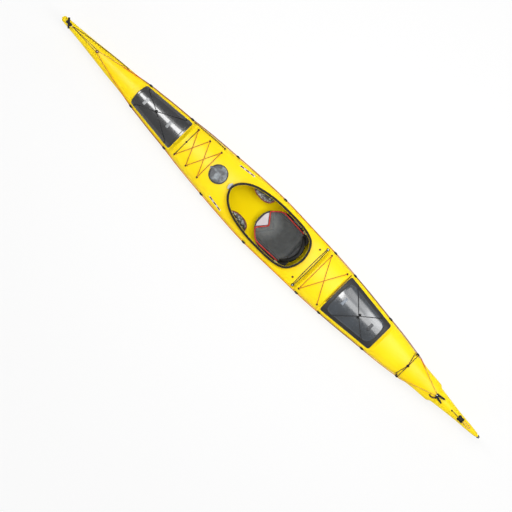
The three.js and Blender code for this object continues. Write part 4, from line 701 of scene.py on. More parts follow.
LINE_STARBOARD = deck_cord(
    "deck_line_starboard",
    [(49, (236, 196, 70)), (76, (226, 170, 60)), (84, (220, 36, 18)), (96, (214, 40, 20)), (100, (158, 70, 2)),
     (208, (140, 58, 2)), (214, (196, 120, 30)), (386, (190, 112, 30)), (392, (110, 44, 4)), (450, (134, 60, 6)),
     (494, (140, 66, 8)), (497, (200, 30, 20)), (503, (204, 60, 24)), (506, (232, 184, 60))],
)  # fmt: skip
FABRIC = woven("seat_fabric", (76, 79, 82), (104, 108, 110))
# Painted light and shade: the cushion's fabric is painted paler round a point near its front and darker further back
# and towards its sides.
painted_shade_and_tone(FABRIC, (0.0, 1.35), (0.075, 1.35), (0.165, 0.5), (0.29, 0.5), (0.33, 0.85))
PAD_FABRIC = plastic("back_pad_vinyl", (84, 82, 81), (112, 108, 106), 0.42, grain=500, strength=0.1, shine=0.12)
# Two tones on the backrest pad: grey at its front, near black behind.
painted_shade_and_tone(PAD_FABRIC, (0, 1), (0.186, 1), (0.2, 0.04), (0.4, 0.04), centre=(-0.118, 0))
PIPING = woven("red_piping", (176, 24, 20), (226, 70, 60), thread=0.0012)
DARK_PIPING = woven("dark_red_piping", (70, 6, 4), (130, 18, 12), thread=0.0012)
BRACE = glinting("brace_pad", (16, 14, 14), (150, 156, 160))

# Hull and deck


def stations(start, end, finest=0.0045):
    """Close stations along the kayak, closer still where the deck steps."""
    height, shares = smooth_table(RIDGE), []
    for a, b in zip(STATIONS, STATIONS[1:]):
        steep = abs(height(b) - height(a)) > 2 * (b - a)
        count = max(3, ceil((b - a) / finest), 8 if steep else 0)
        shares += [lerp(a, b, k / count) for k in range(count)]
    return [start, *[aft_of(s) for s in shares if start < aft_of(s) < end], end]


def shell_half(aft, inset):
    """Half the shell's width. Its outer skin is drawn in at both ends, so that they are rounded in plan."""
    near = min(aft, HULL_LENGTH - aft)
    if inset or near >= END_REACH:
        return half_beam(aft) - inset
    return half_beam(aft) * sqrt(max(1 - (1 - near / END_REACH) ** 2 * 0.72, 0))


def mirrored(aft, right, extra):
    """A whole section from its half, carried past the seam by extra."""
    ring = right + [(-y, z) for y, z in reversed(right[:-1])]
    if extra:
        y, z = right[0]
        ring += [(-y, z + extra), (y, z + extra)]
    return [(x_at(aft), y, z) for y, z in ring]


def deck_ring(aft, inset=0, extra=0):
    half, base, steps = shell_half(aft, inset), seam(aft) + GAP, 26
    rise = ridge(aft) - inset - base
    shares = [1 - (k / steps) ** 2.3 for k in range(steps + 1)]
    return mirrored(aft, [(s * half, base + rise * crown(s)) for s in shares], extra)


def hull_table(table):
    """The hull's section drawn smoothly through its table."""
    whole = [(y, z, 0) for y, z in table] + [(-y, z, 0) for y, z in reversed(table[:-1])]
    fine = through(whole, per=6)
    half = flat(fine[: len(fine) // 2 + 1])
    half[-1] = (0, max(half[-1][1], 0))
    return half


ROUND_FINE, VEE_FINE = hull_table(ROUND_HULL), hull_table(VEE_HULL)


def hull_half(aft, inset=0):
    """The hull's half section at a station, from the seam to the keel."""
    half, full = shell_half(aft, inset), fullness(aft)
    top, bottom = seam(aft), keel(aft) + inset
    section = []
    for (vy, vz), (ry, rz) in zip(VEE_FINE, ROUND_FINE):
        section.append((lerp(vy, ry, full) * half, bottom + (top - bottom) * max(lerp(vz, rz, full), 0)))
    return section


def hull_ring(aft, inset=0, extra=0):
    return mirrored(aft, hull_half(aft, inset), extra)


def hull_inside_z(aft, y):
    """Height of the hull's inner skin at a distance from the centreline."""
    section = hull_half(aft, WALL)
    for (y1, z1), (y0, z0) in zip(section, section[1:]):
        if y0 <= abs(y) <= y1:
            return lerp(z0, z1, (abs(y) - y0) / max(y1 - y0, 1e-6))
    return section[0][1]


def matt_inside(obj):
    """Gives the faces that look in to the shell's middle the matt finish of its inside, in a yellow painted a little
    brighter than the outside's: painted light for the shaded inside.
    """
    obj.data.materials.append(INSIDE)
    for face in obj.data.polygons:
        place, way = face.center * 1000, face.normal
        if way.y * place.y + way.z * (place.z - seam(aft_at(place.x))) < 0:
            face.material_index = 1


def shell_loft(name, ring, extra):
    """The solid of one moulding and the hollow to cut from it."""
    inside = stations(STEM, HULL_LENGTH - STERN, HOLLOW_STEP)
    hollow = loft("hollow", [ring(a, WALL, extra) for a in inside])
    return loft(name, [ring(a) for a in stations(0, HULL_LENGTH)]), hollow


def build_hull():
    hull, hollow = shell_loft("shell_hull", hull_ring, HOLLOW_EXTRA)
    combine(hull, hollow)
    dressed(hull, "yellow_shell", YELLOW, ["hull"])
    matt_inside(hull)


def coaming_outline(count=160):
    """Points round the coaming with the way out from each."""
    fore = aft_of(COCKPIT_FORE)
    half = [(x_at(fore + a * COCKPIT_LENGTH), w * COCKPIT_WIDTH / 2, 0) for a, w in COAMING]
    loop = half + [(x, -y, 0) for x, y, _ in reversed(half[1:-1])]
    pts = spaced(through(loop, per=10, closed=True), count)
    turn = copysign(1, sum(p.x * q.y - q.x * p.y for p, q in zip(pts, pts[1:] + pts[:1])))
    ways = [(pts[(i + 1) % count] - pts[i - 1]).normalized() for i in range(count)]
    return [(p, Vector((t.y, -t.x, 0)) * turn) for p, t in zip(pts, ways)]


COAMING_LOOP = coaming_outline()


def coaming_ring(point, out, section, drop=0.0):
    """A section of the coaming, given as way out and height, at one of its points."""
    top = rim_top(aft_at(point.x)) - drop
    return [(point.x + out.x * o, point.y + out.y * o, top + h) for o, h in section]


def coaming_loft(name, section, drop=0.0):
    return loft(name, [coaming_ring(*place, section, drop) for place in COAMING_LOOP], closed=True)


def midline(outline, fore_gap, aft_gap):
    """For each point of an outline, a point on the centreline, kept clear of the outline's two ends."""
    fore = max(p[0] for p in outline) - fore_gap
    aft = min(p[0] for p in outline) + aft_gap
    return [(min(max(p[0], aft), fore), 0) for p in outline]


def prism(name, outline, low, high):
    return loft(name, [[(p[0], p[1], z) for p in outline] for z in (low, high)])


def hatch_outline(hatch, inset, count=132):
    """The hatch's outline drawn in by inset. Its corners are those of the frame's edge, then of the lid."""
    fore, aft = x_at(aft_of(hatch["fore"])) - inset, x_at(aft_of(hatch["aft"])) + inset
    half_fore, half_aft = hatch["fore_width"] / 2 - inset, hatch["aft_width"] / 2 - inset
    lid = hatch["border"] - LID_SKIRT
    corner = lerp(HATCH_CORNER, hatch["corner"], min(max((inset - 3) / (lid - 12), 0), 1))
    corner = max(corner - 0.6 * max(inset - lid - LID_SKIRT, 0), NECK_WALL)
    front = fore - hatch["bow"]
    corners = [
        (fore, 0, half_fore - corner - NECK_WALL), (front, -half_fore, corner), (aft, -half_aft, corner),
        (aft, half_aft, corner), (front, half_fore, corner),
    ]  # fmt: skip
    outline = rounded_outline(corners)
    return flat(spaced(outline[6:] + outline[:6], count))


def hatch_place(hatch, share):
    return x_at(aft_of(lerp(hatch["fore"], hatch["aft"], share)))


def build_deck():
    deck, hollow = shell_loft("shell_deck", deck_ring, -HOLLOW_EXTRA)
    wall = [(-RIM_OVERHANG - RISER_WALL, -RISER_REACH), (-RIM_OVERHANG, -RISER_REACH)]
    wall += [(o, 0) for o, _ in reversed(wall)]
    combine(deck, coaming_loft("riser", wall, RIM_THICK + GAP), "UNION")
    combine(deck, hollow)
    inset = RIM_OVERHANG + RISER_WALL
    inside = [(p.x - o.x * inset, p.y - o.y * inset) for p, o in COAMING_LOOP]
    combine(deck, prism("cockpit", inside, 0, 400))
    combine(deck, prism("round_hole", circle(x_at(aft_of(DAY_SHARE)), DAY_BORE + 4 + GAP), 150, 340))
    for hatch in (BOW_HATCH, STERN_HATCH):
        combine(deck, prism("hatch_hole", hatch_outline(hatch, hatch["border"] - GAP), 205, 340))
    dressed(deck, "yellow_shell", YELLOW, ["deck"], 32)
    matt_inside(deck)


def build_rim():
    section = [
        (-20.5, -9), (-20.5, -3.6), (-19.8, -1.5), (-18, -0.3), (-12, 0), (-4.2, -0.3), (-1.3, -1.5), (0, -4.2),
        (0, -12), (-0.7, -13), (-2.4, -13), (-3.1, -12), (-4.4, -9.6), (-14, -9),
    ]  # fmt: skip
    dressed(coaming_loft("coaming_rim", section), "black_rim", RIM_BLACK, ["cockpit_rim"], 50)


def build_rim_glint():
    """The small grey crescent at the front of the coaming: a painted highlight, standing for the glint on the black
    rim's front edge.
    """
    front = [(p, o) for p, o in COAMING_LOOP if o.x > 0.7 and abs(p.y) < RIM_GLINT_HALF]
    rings = []
    for p, o in sorted(front, key=lambda item: item[0].y):
        near, far = -2, 7 + 17 * max(1 - (p.y / (RIM_GLINT_HALF + 2)) ** 2, 0.05)
        rings.append(coaming_ring(p, o, [(near, -12), (near, -10), (far, -10), (far, -12)]))
    dressed(loft("coaming_painted_glint", rings), "black_rim", BAR_GREY, sharp=50)


# Small fittings


def ball(name, point, radius, squash=1.0, slot="black_fitting", material=FITTING, **how):
    turns = [pi * k / 14 for k in range(15)]
    profile = [(radius * sin(a), -radius * squash * cos(a)) for a in turns]
    rings = along_normal(turned_rings(profile, 28), point, (0, 0, 1))
    return dressed(skin(name, rings), slot, material, **how)


def domed(name, point, normal, radius, height, material, replaces=(), oval=(1, 1)):
    """A low fitting with a rolled edge, standing on the skin, round or oval along the kayak."""
    shares = [(1, 0.35), (0.94, 0.62), (0.8, 0.85), (0.58, 0.97), (0.42, 1), (0.36, 0.93), (0, 0.93)]
    profile = [(0, -3), (radius * 0.9, -3), (radius, -2)] + [(radius * r, height * h) for r, h in shares]
    rings = [[(x * oval[0], y * oval[1], z) for x, y, z in ring] for ring in turned_rings(profile, 36)]
    return dressed(skin(name, along_normal(rings, point, normal)), "black_fitting", material, replaces, 45)


def screw(name, point, normal, radius, material=METAL):
    """A pan-headed screw with a cross recess."""
    profile = [(0, -1.5), (radius, -1.5), (radius, 0.5), (radius * 0.85, 1.5), (radius * 0.5, 2.1), (0, 2.3)]
    obj = skin(name, turned_rings(profile, 20))
    for a, b in ((radius * 1.1, radius * 0.22), (radius * 0.22, radius * 1.1)):
        outline = [(-a / 2, -b / 2), (a / 2, -b / 2), (a / 2, b / 2), (-a / 2, b / 2)]
        combine(obj, prism("recess", outline, 1.2, 4))
    turn = Vector((0, 0, 1)).rotation_difference(Vector(normal)).to_matrix().to_4x4()
    obj.data.transform(Matrix.Translation(Vector(point) / 1000) @ turn)
    return dressed(obj, "rail_metal", material, sharp=30)


# Hatches


def lid_z(hatch, x, y):
    aft = aft_at(x)
    along = 2 * (aft - aft_of(hatch["fore"])) / aft_of(hatch["aft"] - hatch["fore"]) - 1
    across = y / (max(hatch["fore_width"], hatch["aft_width"]) / 2)
    swell = max(1 - along**4, 0) * max(1 - across**2, 0)
    reach = min(max(aft, aft_of(hatch["fore"])), aft_of(hatch["aft"]))
    return deck_z(reach, y) + FLANGE + LID_EDGE + hatch["crown"] * swell


def spine(hatch, outline):
    """The line that the lid's loops are drawn in to."""
    return midline(outline, hatch["fore_width"] * 0.42, hatch["aft_width"] * 0.42)

BAR_SECTION = [
    (-1, -0.3), (-1, 0.5), (-0.93, 0.85), (-0.8, 1), (-0.4, 1), (0, 1), (0.4, 1), (0.8, 1), (0.93, 0.85), (1, 0.5),
    (1, -0.3),
]  # fmt: skip
HOOK_PROFILE = [(0, 0), (9, 0), (9, 3), (7.5, 5.5), (4.5, 7), (0, 7.4)]


def if_first(number, node_name):
    """Of several pieces that stand for one CAD node, the first replaces it."""
    return [] if number else [node_name]


def build_hatch(name, hatch, frame_material, lid_slot, lid_material, bar_materials, knobs):
    body, border = f"{name}_cover", hatch["border"]
    inset, edge = border - LID_SKIRT, 7

    def top(x, y):
        return lid_z(hatch, x, y)

    def outline_at(inset):
        return hatch_outline(hatch, inset)

    rows = [
        (0, 0.4), (0, 5.6), (0.8, 7.3), (2.6, 8), (border - 9, 8), (border, 8), (border, 12.2), (border + 0.8, 13),
        (border + 3.2, 13), (border + 4, 12.2), (border + 4, -12), (border, -12), (border, 0.4),
    ]  # fmt: skip
    rings = [raised(outline_at(row), lambda x, y: deck_z(aft_at(x), y, out)) for row, out in rows]
    dressed(loft(f"{name}_surround", rings, closed=True), "black_frame", frame_material, [f"{name}_frame"])

    inner = outline_at(inset + LID_WALL)
    loops = drawn_in(inner, spine(hatch, inner), (1, 0.75, 0.5, 0.25, 0), lambda x, y: top(x, y) - LID_WALL)
    for outline in (inner, outline_at(inset)):
        loops.append(raised(outline, lambda x, y: deck_z(aft_at(x), y, FLANGE) + GAP + 0.2))
    loops += rolled(outline_at, inset, edge, (0, 22.5, 45, 67.5, 90), top)
    outline = outline_at(inset + edge)
    loops += drawn_in(outline, spine(hatch, outline), [k / 12 for k in range(1, 13)], top)
    dressed(skin(f"{name}_dome", loops), lid_slot, lid_material, [f"{name}_lid"], 48, body)

    for i, (share, material) in enumerate(zip(hatch["bars"], bar_materials)):
        x, rings = hatch_place(hatch, share), []
        for k in range(25):
            y = BAR_SPAN * (k / 24 - 0.5)
            end = min(1, sqrt(max(1 - abs(2 * k / 24 - 1) ** 12, 0)) + 0.4)
            half, rise = BAR_WIDTH / 2 * min(end + 0.3, 1), BAR_HEIGHT * end
            rings.append([(x + u * half, y, top(x + u * half, y) + v * rise) for u, v in BAR_SECTION])
        dressed(loft(f"{name}_bar_{i + 1}", rings), lid_slot, material, (), 60, body)

    x = hatch_place(hatch, hatch["ball"])
    centre = Vector((x, 0, top(x, 0) + BALL_RADIUS + GAP))
    out, lift = BUNGEE_RADIUS + CORD_RISE, BAR_HEIGHT + BUNGEE_RADIUS + CORD_RISE
    fore_x = x_at(aft_of(hatch["fore"])) - hatch["bow"] - inset
    aft_x = x_at(aft_of(hatch["aft"])) + inset
    corners = []
    for share in hatch["cords"]:
        x = hatch_place(hatch, share)
        half = lerp(hatch["fore_width"], hatch["aft_width"], (x - fore_x) / (aft_x - fore_x)) / 2 - inset
        for y in (half + out, -half - out):
            foot = Vector((x, y, deck_z(aft_at(x), y, FLANGE) + 1))
            corners.append((foot, Vector((x, y, top(x, half) + out))))

    def half_path(foot, bend):
        over = bend.lerp(centre, 0.5)
        over.z = top(over.x, over.y) + lift
        return [foot, foot.lerp(bend, 0.6), bend, over]

    for number, (a, b) in enumerate(((0, 3), (1, 2))):
        path = through([*half_path(*corners[a]), centre, *reversed(half_path(*corners[b]))], per=10)
        stands_for = if_first(number, f"{name}_cords")
        cord(f"{name}_cord_{number + 1}", path, BUNGEE_RADIUS, "dark_cord", DARK_CORD, stands_for, body)
    ends = [f"{end}_{label}" for end in ("fore", "aft") for label, _ in SIDES]
    for end, (foot, _) in zip(ends, corners):
        rings = along_normal(turned_rings(HOOK_PROFILE, 24), foot - Vector((0, 0, 1)), (0, 0, 1))
        dressed(skin(f"{name}_hook_{end}", rings), "black_fitting", FITTING, body=body)
    for number, (y, radius) in enumerate(knobs):
        place = centre + Vector((0, y, radius - BALL_RADIUS))
        stands_for = if_first(number, f"{name}_ball")
        ball(f"{name}_knob_{number + 1}", place, radius, body=body, replaces=stands_for)


def build_day_hatch():
    aft, lid, body = aft_of(DAY_SHARE), "rubber_lid", "day_hatch_cover"
    x, top = x_at(aft), deck_z(aft, 0)
    ledge, rim = DAY_BORE + 3, DAY_RING_HEIGHT
    rings = [raised(circle(x, r), lambda px, py: deck_z(aft_at(px), py, 0.4)) for r in (DAY_BORE + 4, DAY_RING)]
    rows = [
        (DAY_RING, rim - 2), (DAY_RING - 2, rim), (ledge, rim), (ledge, rim - 3 - GAP), (DAY_BORE, rim - 3 - GAP),
        (DAY_BORE, -21), (DAY_BORE + 4, -21),
    ]  # fmt: skip
    rings += [raised(circle(x, radius), lambda px, py: top + height) for radius, height in rows]
    dressed(loft("day_hatch_surround", rings, closed=True), "black_frame", FRAME_RUBBER, ["day_hatch_ring"])

    low, wall, edge = rim + GAP, DAY_RADIUS - 4, DAY_RADIUS - 8
    high = low + DAY_LID_HEIGHT
    inner = [(0, high - 4), (edge, high - 4), (wall, high - 8), (wall, low)]
    outer = [(DAY_RADIUS, low), (DAY_RADIUS, high - 6), (DAY_RADIUS - 1.2, high - 3), (wall, high - 0.6)]
    face = [(edge, high), (66, high), (62, high - 1.8), (48, high - 1.2), (30, high - 0.6), (0, high - 0.3)]
    rings = turned_rings(inner, 144) + turned_rings(outer, 144, wave=1.6, waves=36) + turned_rings(face, 144)
    rings = [[(px + x, py, pz + top) for px, py, pz in ring] for ring in rings]
    dressed(skin("day_hatch_cap", rings), lid, LID_RUBBER, ["day_hatch_lid"], 50, body)
    tip = x + DAY_RADIUS + 17
    tab = rounded_outline([(x + 74, -13, 2), (x + 74, 13, 2), (tip, 11, 9), (tip, -11, 9)], 6)
    dressed(bevel(prism("day_hatch_tab", tab, top + low, top + low + 4), 1.2), lid, LID_RUBBER, body=body)


# Deck rigging


def lain(places, lift, side=1):
    """Points over the deck's skin from pairs of share and across."""
    return [on_deck(share, side * across, lift)[0] for share, across in places]


def build_bungees():
    lift = BUNGEE_RADIUS + BUNGEE_LIFT
    one, two, three = FORE_EYES
    near, far = AFT_EYES
    fore = [(one, one, 1), (three, three, 1), (one, two, 1), (one, two, -1), (two, three, 1), (two, three, -1)]
    for group, runs in (("fore", fore), ("aft", [(near, near, 1), (near, far, 1), (near, far, -1)])):
        for i, (a, b, side) in enumerate(runs):
            path = through(lain([mix(a, (b[0], -b[1]), k / 8) for k in range(9)], lift, side), per=4)
            material = BROWN_CORD if group == "fore" and i == 0 else RUST
            stands_for = if_first(i, f"{group}_deck_bungee")
            cord(f"{group}_bungee_{i + 1}", path, BUNGEE_RADIUS, "rust_cord", material, stands_for)

    for name, eye, middle, spread, cad_node, material, gap in (
        ("paddle_strap", PADDLE_EYE, PADDLE_EYE[0], 3, "paddle_park_cord", DARK_CORD, lambda t: 1 - t**2 / 2),
        ("cross_bungee", CROSS_EYE, CROSS_BALL, 4, "stern_cross_bungee", BROWN_CORD, lambda t: 0.1 + 1.1 * abs(t)),
    ):
        for number, way in enumerate((1, -1)):
            points = []
            for turn in [k / 6 - 1 for k in range(13)]:
                point = on_deck(eye[0] + (middle - eye[0]) * (1 - abs(turn)), -turn * eye[1], lift)[0]
                point.x += way * spread * BUNGEE_RADIUS * gap(turn)
                points.append(point)
            path, stands_for = through(points, per=3), if_first(number, cad_node)
            cord(f"{name}_{number + 1}", path, BUNGEE_RADIUS, "dark_cord", material, stands_for)
    for kind, eyes, radius, height, material in (
        ("bungee_eye", [*FORE_EYES, *AFT_EYES], 9.5, 11, EYE_BROWN),
        ("ring_eye", [PADDLE_EYE], 14.5, 11, FITTING),
        ("cross_eye", [CROSS_EYE], 8, 9, EYE_BROWN),
    ):
        for i, (share, across) in enumerate(eyes):
            for label, side in SIDES:
                point, normal = on_deck(share, side * across)
                domed(f"{kind}_{label}_{i + 1}", point, normal, radius, height, material)
                if kind == "ring_eye":
                    screw(f"ring_eye_screw_{label}_{i + 1}", point + normal * 10.6, normal, 7)
    for label, side in SIDES:
        point, normal = on_deck(DECK_SCREW[0], side * DECK_SCREW[1])
        screw(f"deck_screw_{label}", point + normal * 0.6, normal, 10, EYE_BROWN)
    point, normal = on_deck(one[0], 0, lift)
    ball("fore_bead", point + normal, 9)
    point, normal = on_deck(CROSS_BALL, 0, lift)
    ball("cross_bead", point + normal * 2, 13, 0.77)


def strip(name, places, width, parts, bottom, top, slot, material):
    """A thin strip through places of x and y, its underside and top at heights that functions give."""
    rings = []
    for x, y in places:
        ys = [y + width * (m / parts - 0.5) for m in range(parts + 1)]
        rings.append([(x, p, top(x, p)) for p in ys] + [(x, p, bottom(x, p)) for p in reversed(ys)])
    dressed(loft(name, rings), slot, material, sharp=50)


def deck_strip(name, start, end, ys, width, thick, material):
    """A strip on the deck from one distance from the bow to another, between two places across."""
    places = [(x_at(lerp(start, end, k / 16)), lerp(*ys, k / 16)) for k in range(17)]
    heights = [lambda x, y, out=out: deck_z(aft_at(x), y, out) for out in (0.4, thick)]
    strip(name, places, width, 4, *heights, "black_fitting", material)


def build_strips():
    for label, side in SIDES:
        deck_strip(f"reflective_strip_{label}", *STRIP_ENDS, [side * y for y in STRIP_ACROSS], 13, 1.2, STRIP)
        for number, band in enumerate(STRIP_BANDS):
            ends, ys = ([lerp(*pair, t) for t in band] for pair in (STRIP_ENDS, STRIP_ACROSS))
            deck_strip(f"strip_band_{label}_{number + 1}", *ends, [side * y for y in ys], 8, 2, STRIP_DARK)


def line_places(side):
    places = []
    for share, height in LINE_FITTINGS:
        aft = aft_of(share)
        across = side * deck_side(aft, height * DECK_HEIGHT) / half_beam(aft)
        places.append(on_deck(share, across))
    return places


def clear_of_deck(point, clearance):
    aft = aft_at(point.x)
    side = copysign(1, point.y)
    reach = deck_side(aft, max(point.z, seam(aft)))
    normal = on_deck(aft / HULL_LENGTH, reach / half_beam(aft))[1]
    y = max(abs(point.y), reach + clearance / max(normal.y, 0.4))
    return Vector((point.x, side * y, point.z))


def build_deck_lines():
    lift = LINE_RADIUS + LINE_LIFT
    for (label, side), material in zip(SIDES, (LINE_PORT, LINE_STARBOARD)):
        places = line_places(side)
        held = [point + normal * lift for point, normal in places]
        path = lain(LINE_BOW, lift, side) + [held[0]]
        for a, b in zip(held, held[1:]):
            path += [clear_of_deck(a.lerp(b, t), lift) for t in (0.25, 0.5, 0.75)] + [b]
        path = through(path + lain(LINE_STERN, lift + 2, side), per=8)
        cord(f"perimeter_line_{label}", path, LINE_RADIUS, "rust_cord", material, [f"deck_line_{label}"])
        for i, (point, normal) in enumerate(places):
            end = f"{label}_{i + 1}"
            clip = [f"line_fitting_{end}"]
            domed(f"line_clip_{end}", point, normal, 15, 12.5, FITTING, clip, (1.3, 0.75))
            screw(f"line_screw_{end}", point + normal * 11.9, normal, 4, FITTING)


def build_stern_toggle():
    """A lumpy knob with a notch on each of its four sides."""
    middle = x_at(aft_of(STERN_TOGGLE))
    low, rings = deck_z(aft_of(STERN_TOGGLE), 0), []
    for size, height in ((0.86, 4), (1, 8), (1, 20), (0.95, 27), (0.82, 32), (0.55, 34)):
        ring = []
        for turn in [2 * pi * k / 96 for k in range(96)]:
            square = (abs(cos(turn)) ** 3 + abs(sin(turn)) ** 3) ** (-1 / 3)
            reach = size * square * (1 - 0.2 * max(cos(4 * turn), 0) ** 1.5)
            x, y = 32 * reach * cos(turn), reach * sin(turn) * (27 + 3 * cos(turn))
            ring.append((middle + x, y, low + height))
        rings.append(ring)
    dressed(loft("toggle_knob", rings), "black_fitting", FITTING, ["stern_toggle"], 50, "stern_toggle")


def torus(name, point, normal, radius, thick):
    rings = []
    for turn in [2 * pi * k / 40 for k in range(40)]:
        around = circle(radius, thick, 14)
        rings.append([(r * cos(turn), r * sin(turn), z) for r, z in around])
    return loft(name, along_normal(rings, point, normal), closed=True)


def build_ends():
    lift, toggle, pale = THIN_RADIUS + 2, "stern_toggle", ("pale_cord", PINK)
    point, normal = on_deck(BOW_LOOP, 0)
    domed("deck_ring_base", point, normal, 13, 8, EYE_BROWN, ["bow_deck_loop"])
    dressed(torus("deck_ring", point + normal * 8, normal, 10.5, 4), "black_fitting", EYE_BROWN, sharp=60)
    ball("deck_ring_centre", point + normal * 7.5, 7, 0.45, *pale)
    for number, side in enumerate((1, -1)):
        path, stands_for = through(lain(BOW_CORD, lift, side), per=10), if_first(number, "bow_toggle_cord")
        cord(f"toggle_cord_{number + 1}", path, THIN_RADIUS, "dark_cord", BROWN_CORD, stands_for)
    ball("toggle_bead", on_deck(TOGGLE_BEAD, 0, 8)[0], 6, 1, *pale)

    path = through(lain(STERN_CORD, lift), per=12)
    cord("toggle_line_dark", path[:25], 3, "dark_cord", BROWN_CORD, ["stern_toggle_line"], toggle)
    cord("toggle_line_pale", path[24:], 2.6, "pale_cord", PALE_CORD, (), toggle)
    ball("toggle_line_bead", on_deck(STERN_BEAD, 0, BEAD_RADIUS + GAP)[0], BEAD_RADIUS, body=toggle)
    build_stern_toggle()
    edge = [(HATCH_EDGE, across / 10) for across in range(-9, 6)]
    for name, places, rise, per, radius, slot, material in (
        # The brown cord along the starboard bow edge is a painted shadow.
        ("bow_edge_painted_shadow", EDGE_SHADOW_LINE, 2, 8, 3.2, "rust_cord", BROWN_CORD),
        ("cleat_hook", HOOK_LINE, 3, 8, 7, "dark_cord", HOOK_RED),
        ("hatch_edge_cord", edge, 1, 3, 3.2, "rust_cord", EDGE_RED),
        ("side_line", SIDE_LINE, 1, 8, 3.4, "rust_cord", BROWN_CORD),
    ):
        cord(name, through(lain(places, lift + rise), per=per), radius, slot, material)
    ball("side_line_knob", on_deck(*SIDE_LINE[-1], lift + 1)[0], 8)
    top = on_deck(CLEAT, 0, 30)[0].z
    screw("cleat_screw", Vector((x_at(aft_of(CLEAT)) - 9, 0, top - 1.5)), (0, 0, 1), 4.5)


def hull_place(aft, height):
    """A point on the hull's port side at a height, and the skin's normal there."""
    section = hull_half(aft)
    for (y1, z1), (y0, z0) in zip(section, section[1:]):
        if z0 <= height <= z1:
            y = lerp(y0, y1, (height - z0) / max(z1 - z0, 1e-6))
            return Vector((x_at(aft), y, height)), Vector((0, z1 - z0, -(y1 - y0))).normalized()
    raise ValueError(height)


def build_hull_screws():
    for i, aft in enumerate(HULL_SCREWS):
        point, normal = hull_place(aft, HULL_SCREW_HEIGHT)
        for label, side in SIDES:
            place, way = Vector((point.x, side * point.y, point.z)), Vector((0, side * normal.y, normal.z))
            screw(f"hull_screw_{label}_{i + 1}", place + way * 1.4, way, 5.5)


# Cockpit outfitting


def seat_top(x, y):
    along = (x_at(SEAT_FORE) - x) / SEAT_LENGTH
    front = SEAT_FRONT * max(1 - along / 0.5, 0) ** 1.6
    back = SEAT_BACK * max((along - 1) / 0.25 + 1, 0) ** 2
    return SEAT_FLOOR + front + back + SEAT_SIDE * abs(2 * y / SEAT_WIDTH) ** 3


def on_seat(lift):
    """The height of a skin that stands off the seat's top by lift."""
    return lambda x, y: seat_top(x, y) + lift


def seat_outline(inset):
    fore, aft = x_at(SEAT_FORE) - inset, x_at(SEAT_FORE + SEAT_LENGTH) + inset
    shoulder, half = fore - 0.3 * SEAT_LENGTH, SEAT_WIDTH / 2 - inset
    nose, corner = half * 0.42, max(SEAT_CORNER - inset, 20)
    corners = [
        (fore, nose, nose - SEAT_WALL), (fore, -nose, nose - SEAT_WALL), (shoulder, -half, corner),
        (aft, -half, corner), (aft, half, corner), (shoulder, half, corner),
    ]  # fmt: skip
    return flat(spaced(rounded_outline(corners), 168))


def upright(name, outline, side, low, high):
    """A plate that stands along the kayak on one side, its outline given as x and height."""
    return loft(name, [[(p[0], y, p[1]) for p in outline] for y in sorted((side * low, side * high))])


def build_seat():
    inner, edge = seat_outline(SEAT_WALL), 2.4
    loops = drawn_in(inner, midline(inner, 150, 190), [1 - k / 5 for k in range(6)], on_seat(-SEAT_WALL))
    for outline in (inner, seat_outline(0)):
        loops.append(raised(outline, lambda x, y: hull_inside_z(aft_at(x), y) + 0.5))
    loops += rolled(seat_outline, 0, edge, (0, 30, 60, 90), seat_top)
    outline = seat_outline(edge + 0.6)
    loops += drawn_in(outline, midline(outline, 150, 190), [k / 24 for k in range(1, 25)], seat_top)
    pan = skin("seat_moulding", loops)
    x, y, z = HINGE
    low, high = x - EAR_LENGTH / 2, x + EAR_LENGTH / 2
    ear = rounded_outline([(low, 60, 1), (high, 60, 1), (high, EAR_HEIGHT, 24), (low, EAR_HEIGHT, 24)], 8)
    for side in (1, -1):
        combine(pan, upright("ear", ear, side, y + GAP, y + GAP + EAR_THICK), "UNION")
        combine(pan, upright("pin", circle(x, PIN_RADIUS, 24, z), side, y + 3, BACK_RADIUS), "UNION")
    dressed(pan, "seat_plastic", SEAT, ["seat_pan"], 45)


def cushion_points():
    return [(behind * SEAT_LENGTH, across * SEAT_WIDTH / 2) for behind, across in CUSHION_SHARES]


def cushion_outline(inset, count=180):
    """The cushion's outline, drawn in by inset, from its notch round by starboard."""
    tip, leg, shoulder, end = cushion_points()
    fore = x_at(SEAT_FORE)
    half = [
        (fore - tip[0] - inset, 0, CUSHION_NOTCH), (fore - leg[0] - inset * 1.2, leg[1], CUSHION_NOTCH),
        (fore - shoulder[0] - inset * 0.3, shoulder[1] - inset, CUSHION_CORNER),
        (fore - end[0] + inset, end[1] - inset, CUSHION_CORNER),
    ]  # fmt: skip
    corners = [half[0]] + [(x, -y, r) for x, y, r in half[1:]] + list(reversed(half[1:]))
    return flat(spaced(rounded_outline(corners, 10), count))


def channel(behind, y, width):
    """How deep the cushion's sewn channels lie at a place, from 0 to 1."""
    tip, leg, shoulder, end = cushion_points()
    notch = lerp(tip[0], leg[0], abs(y) / leg[1])
    side = lerp(shoulder[1], end[1], (behind - shoulder[0]) / (end[0] - shoulder[0]))
    vee = abs(behind - notch - 2 * CHANNEL_INSET) / width
    edge = abs(abs(y) - side + CHANNEL_INSET) / width
    return max(1 - min(vee, edge), 0)


def in_millimetres(vertex):
    return [c * 1000 for c in vertex.co]


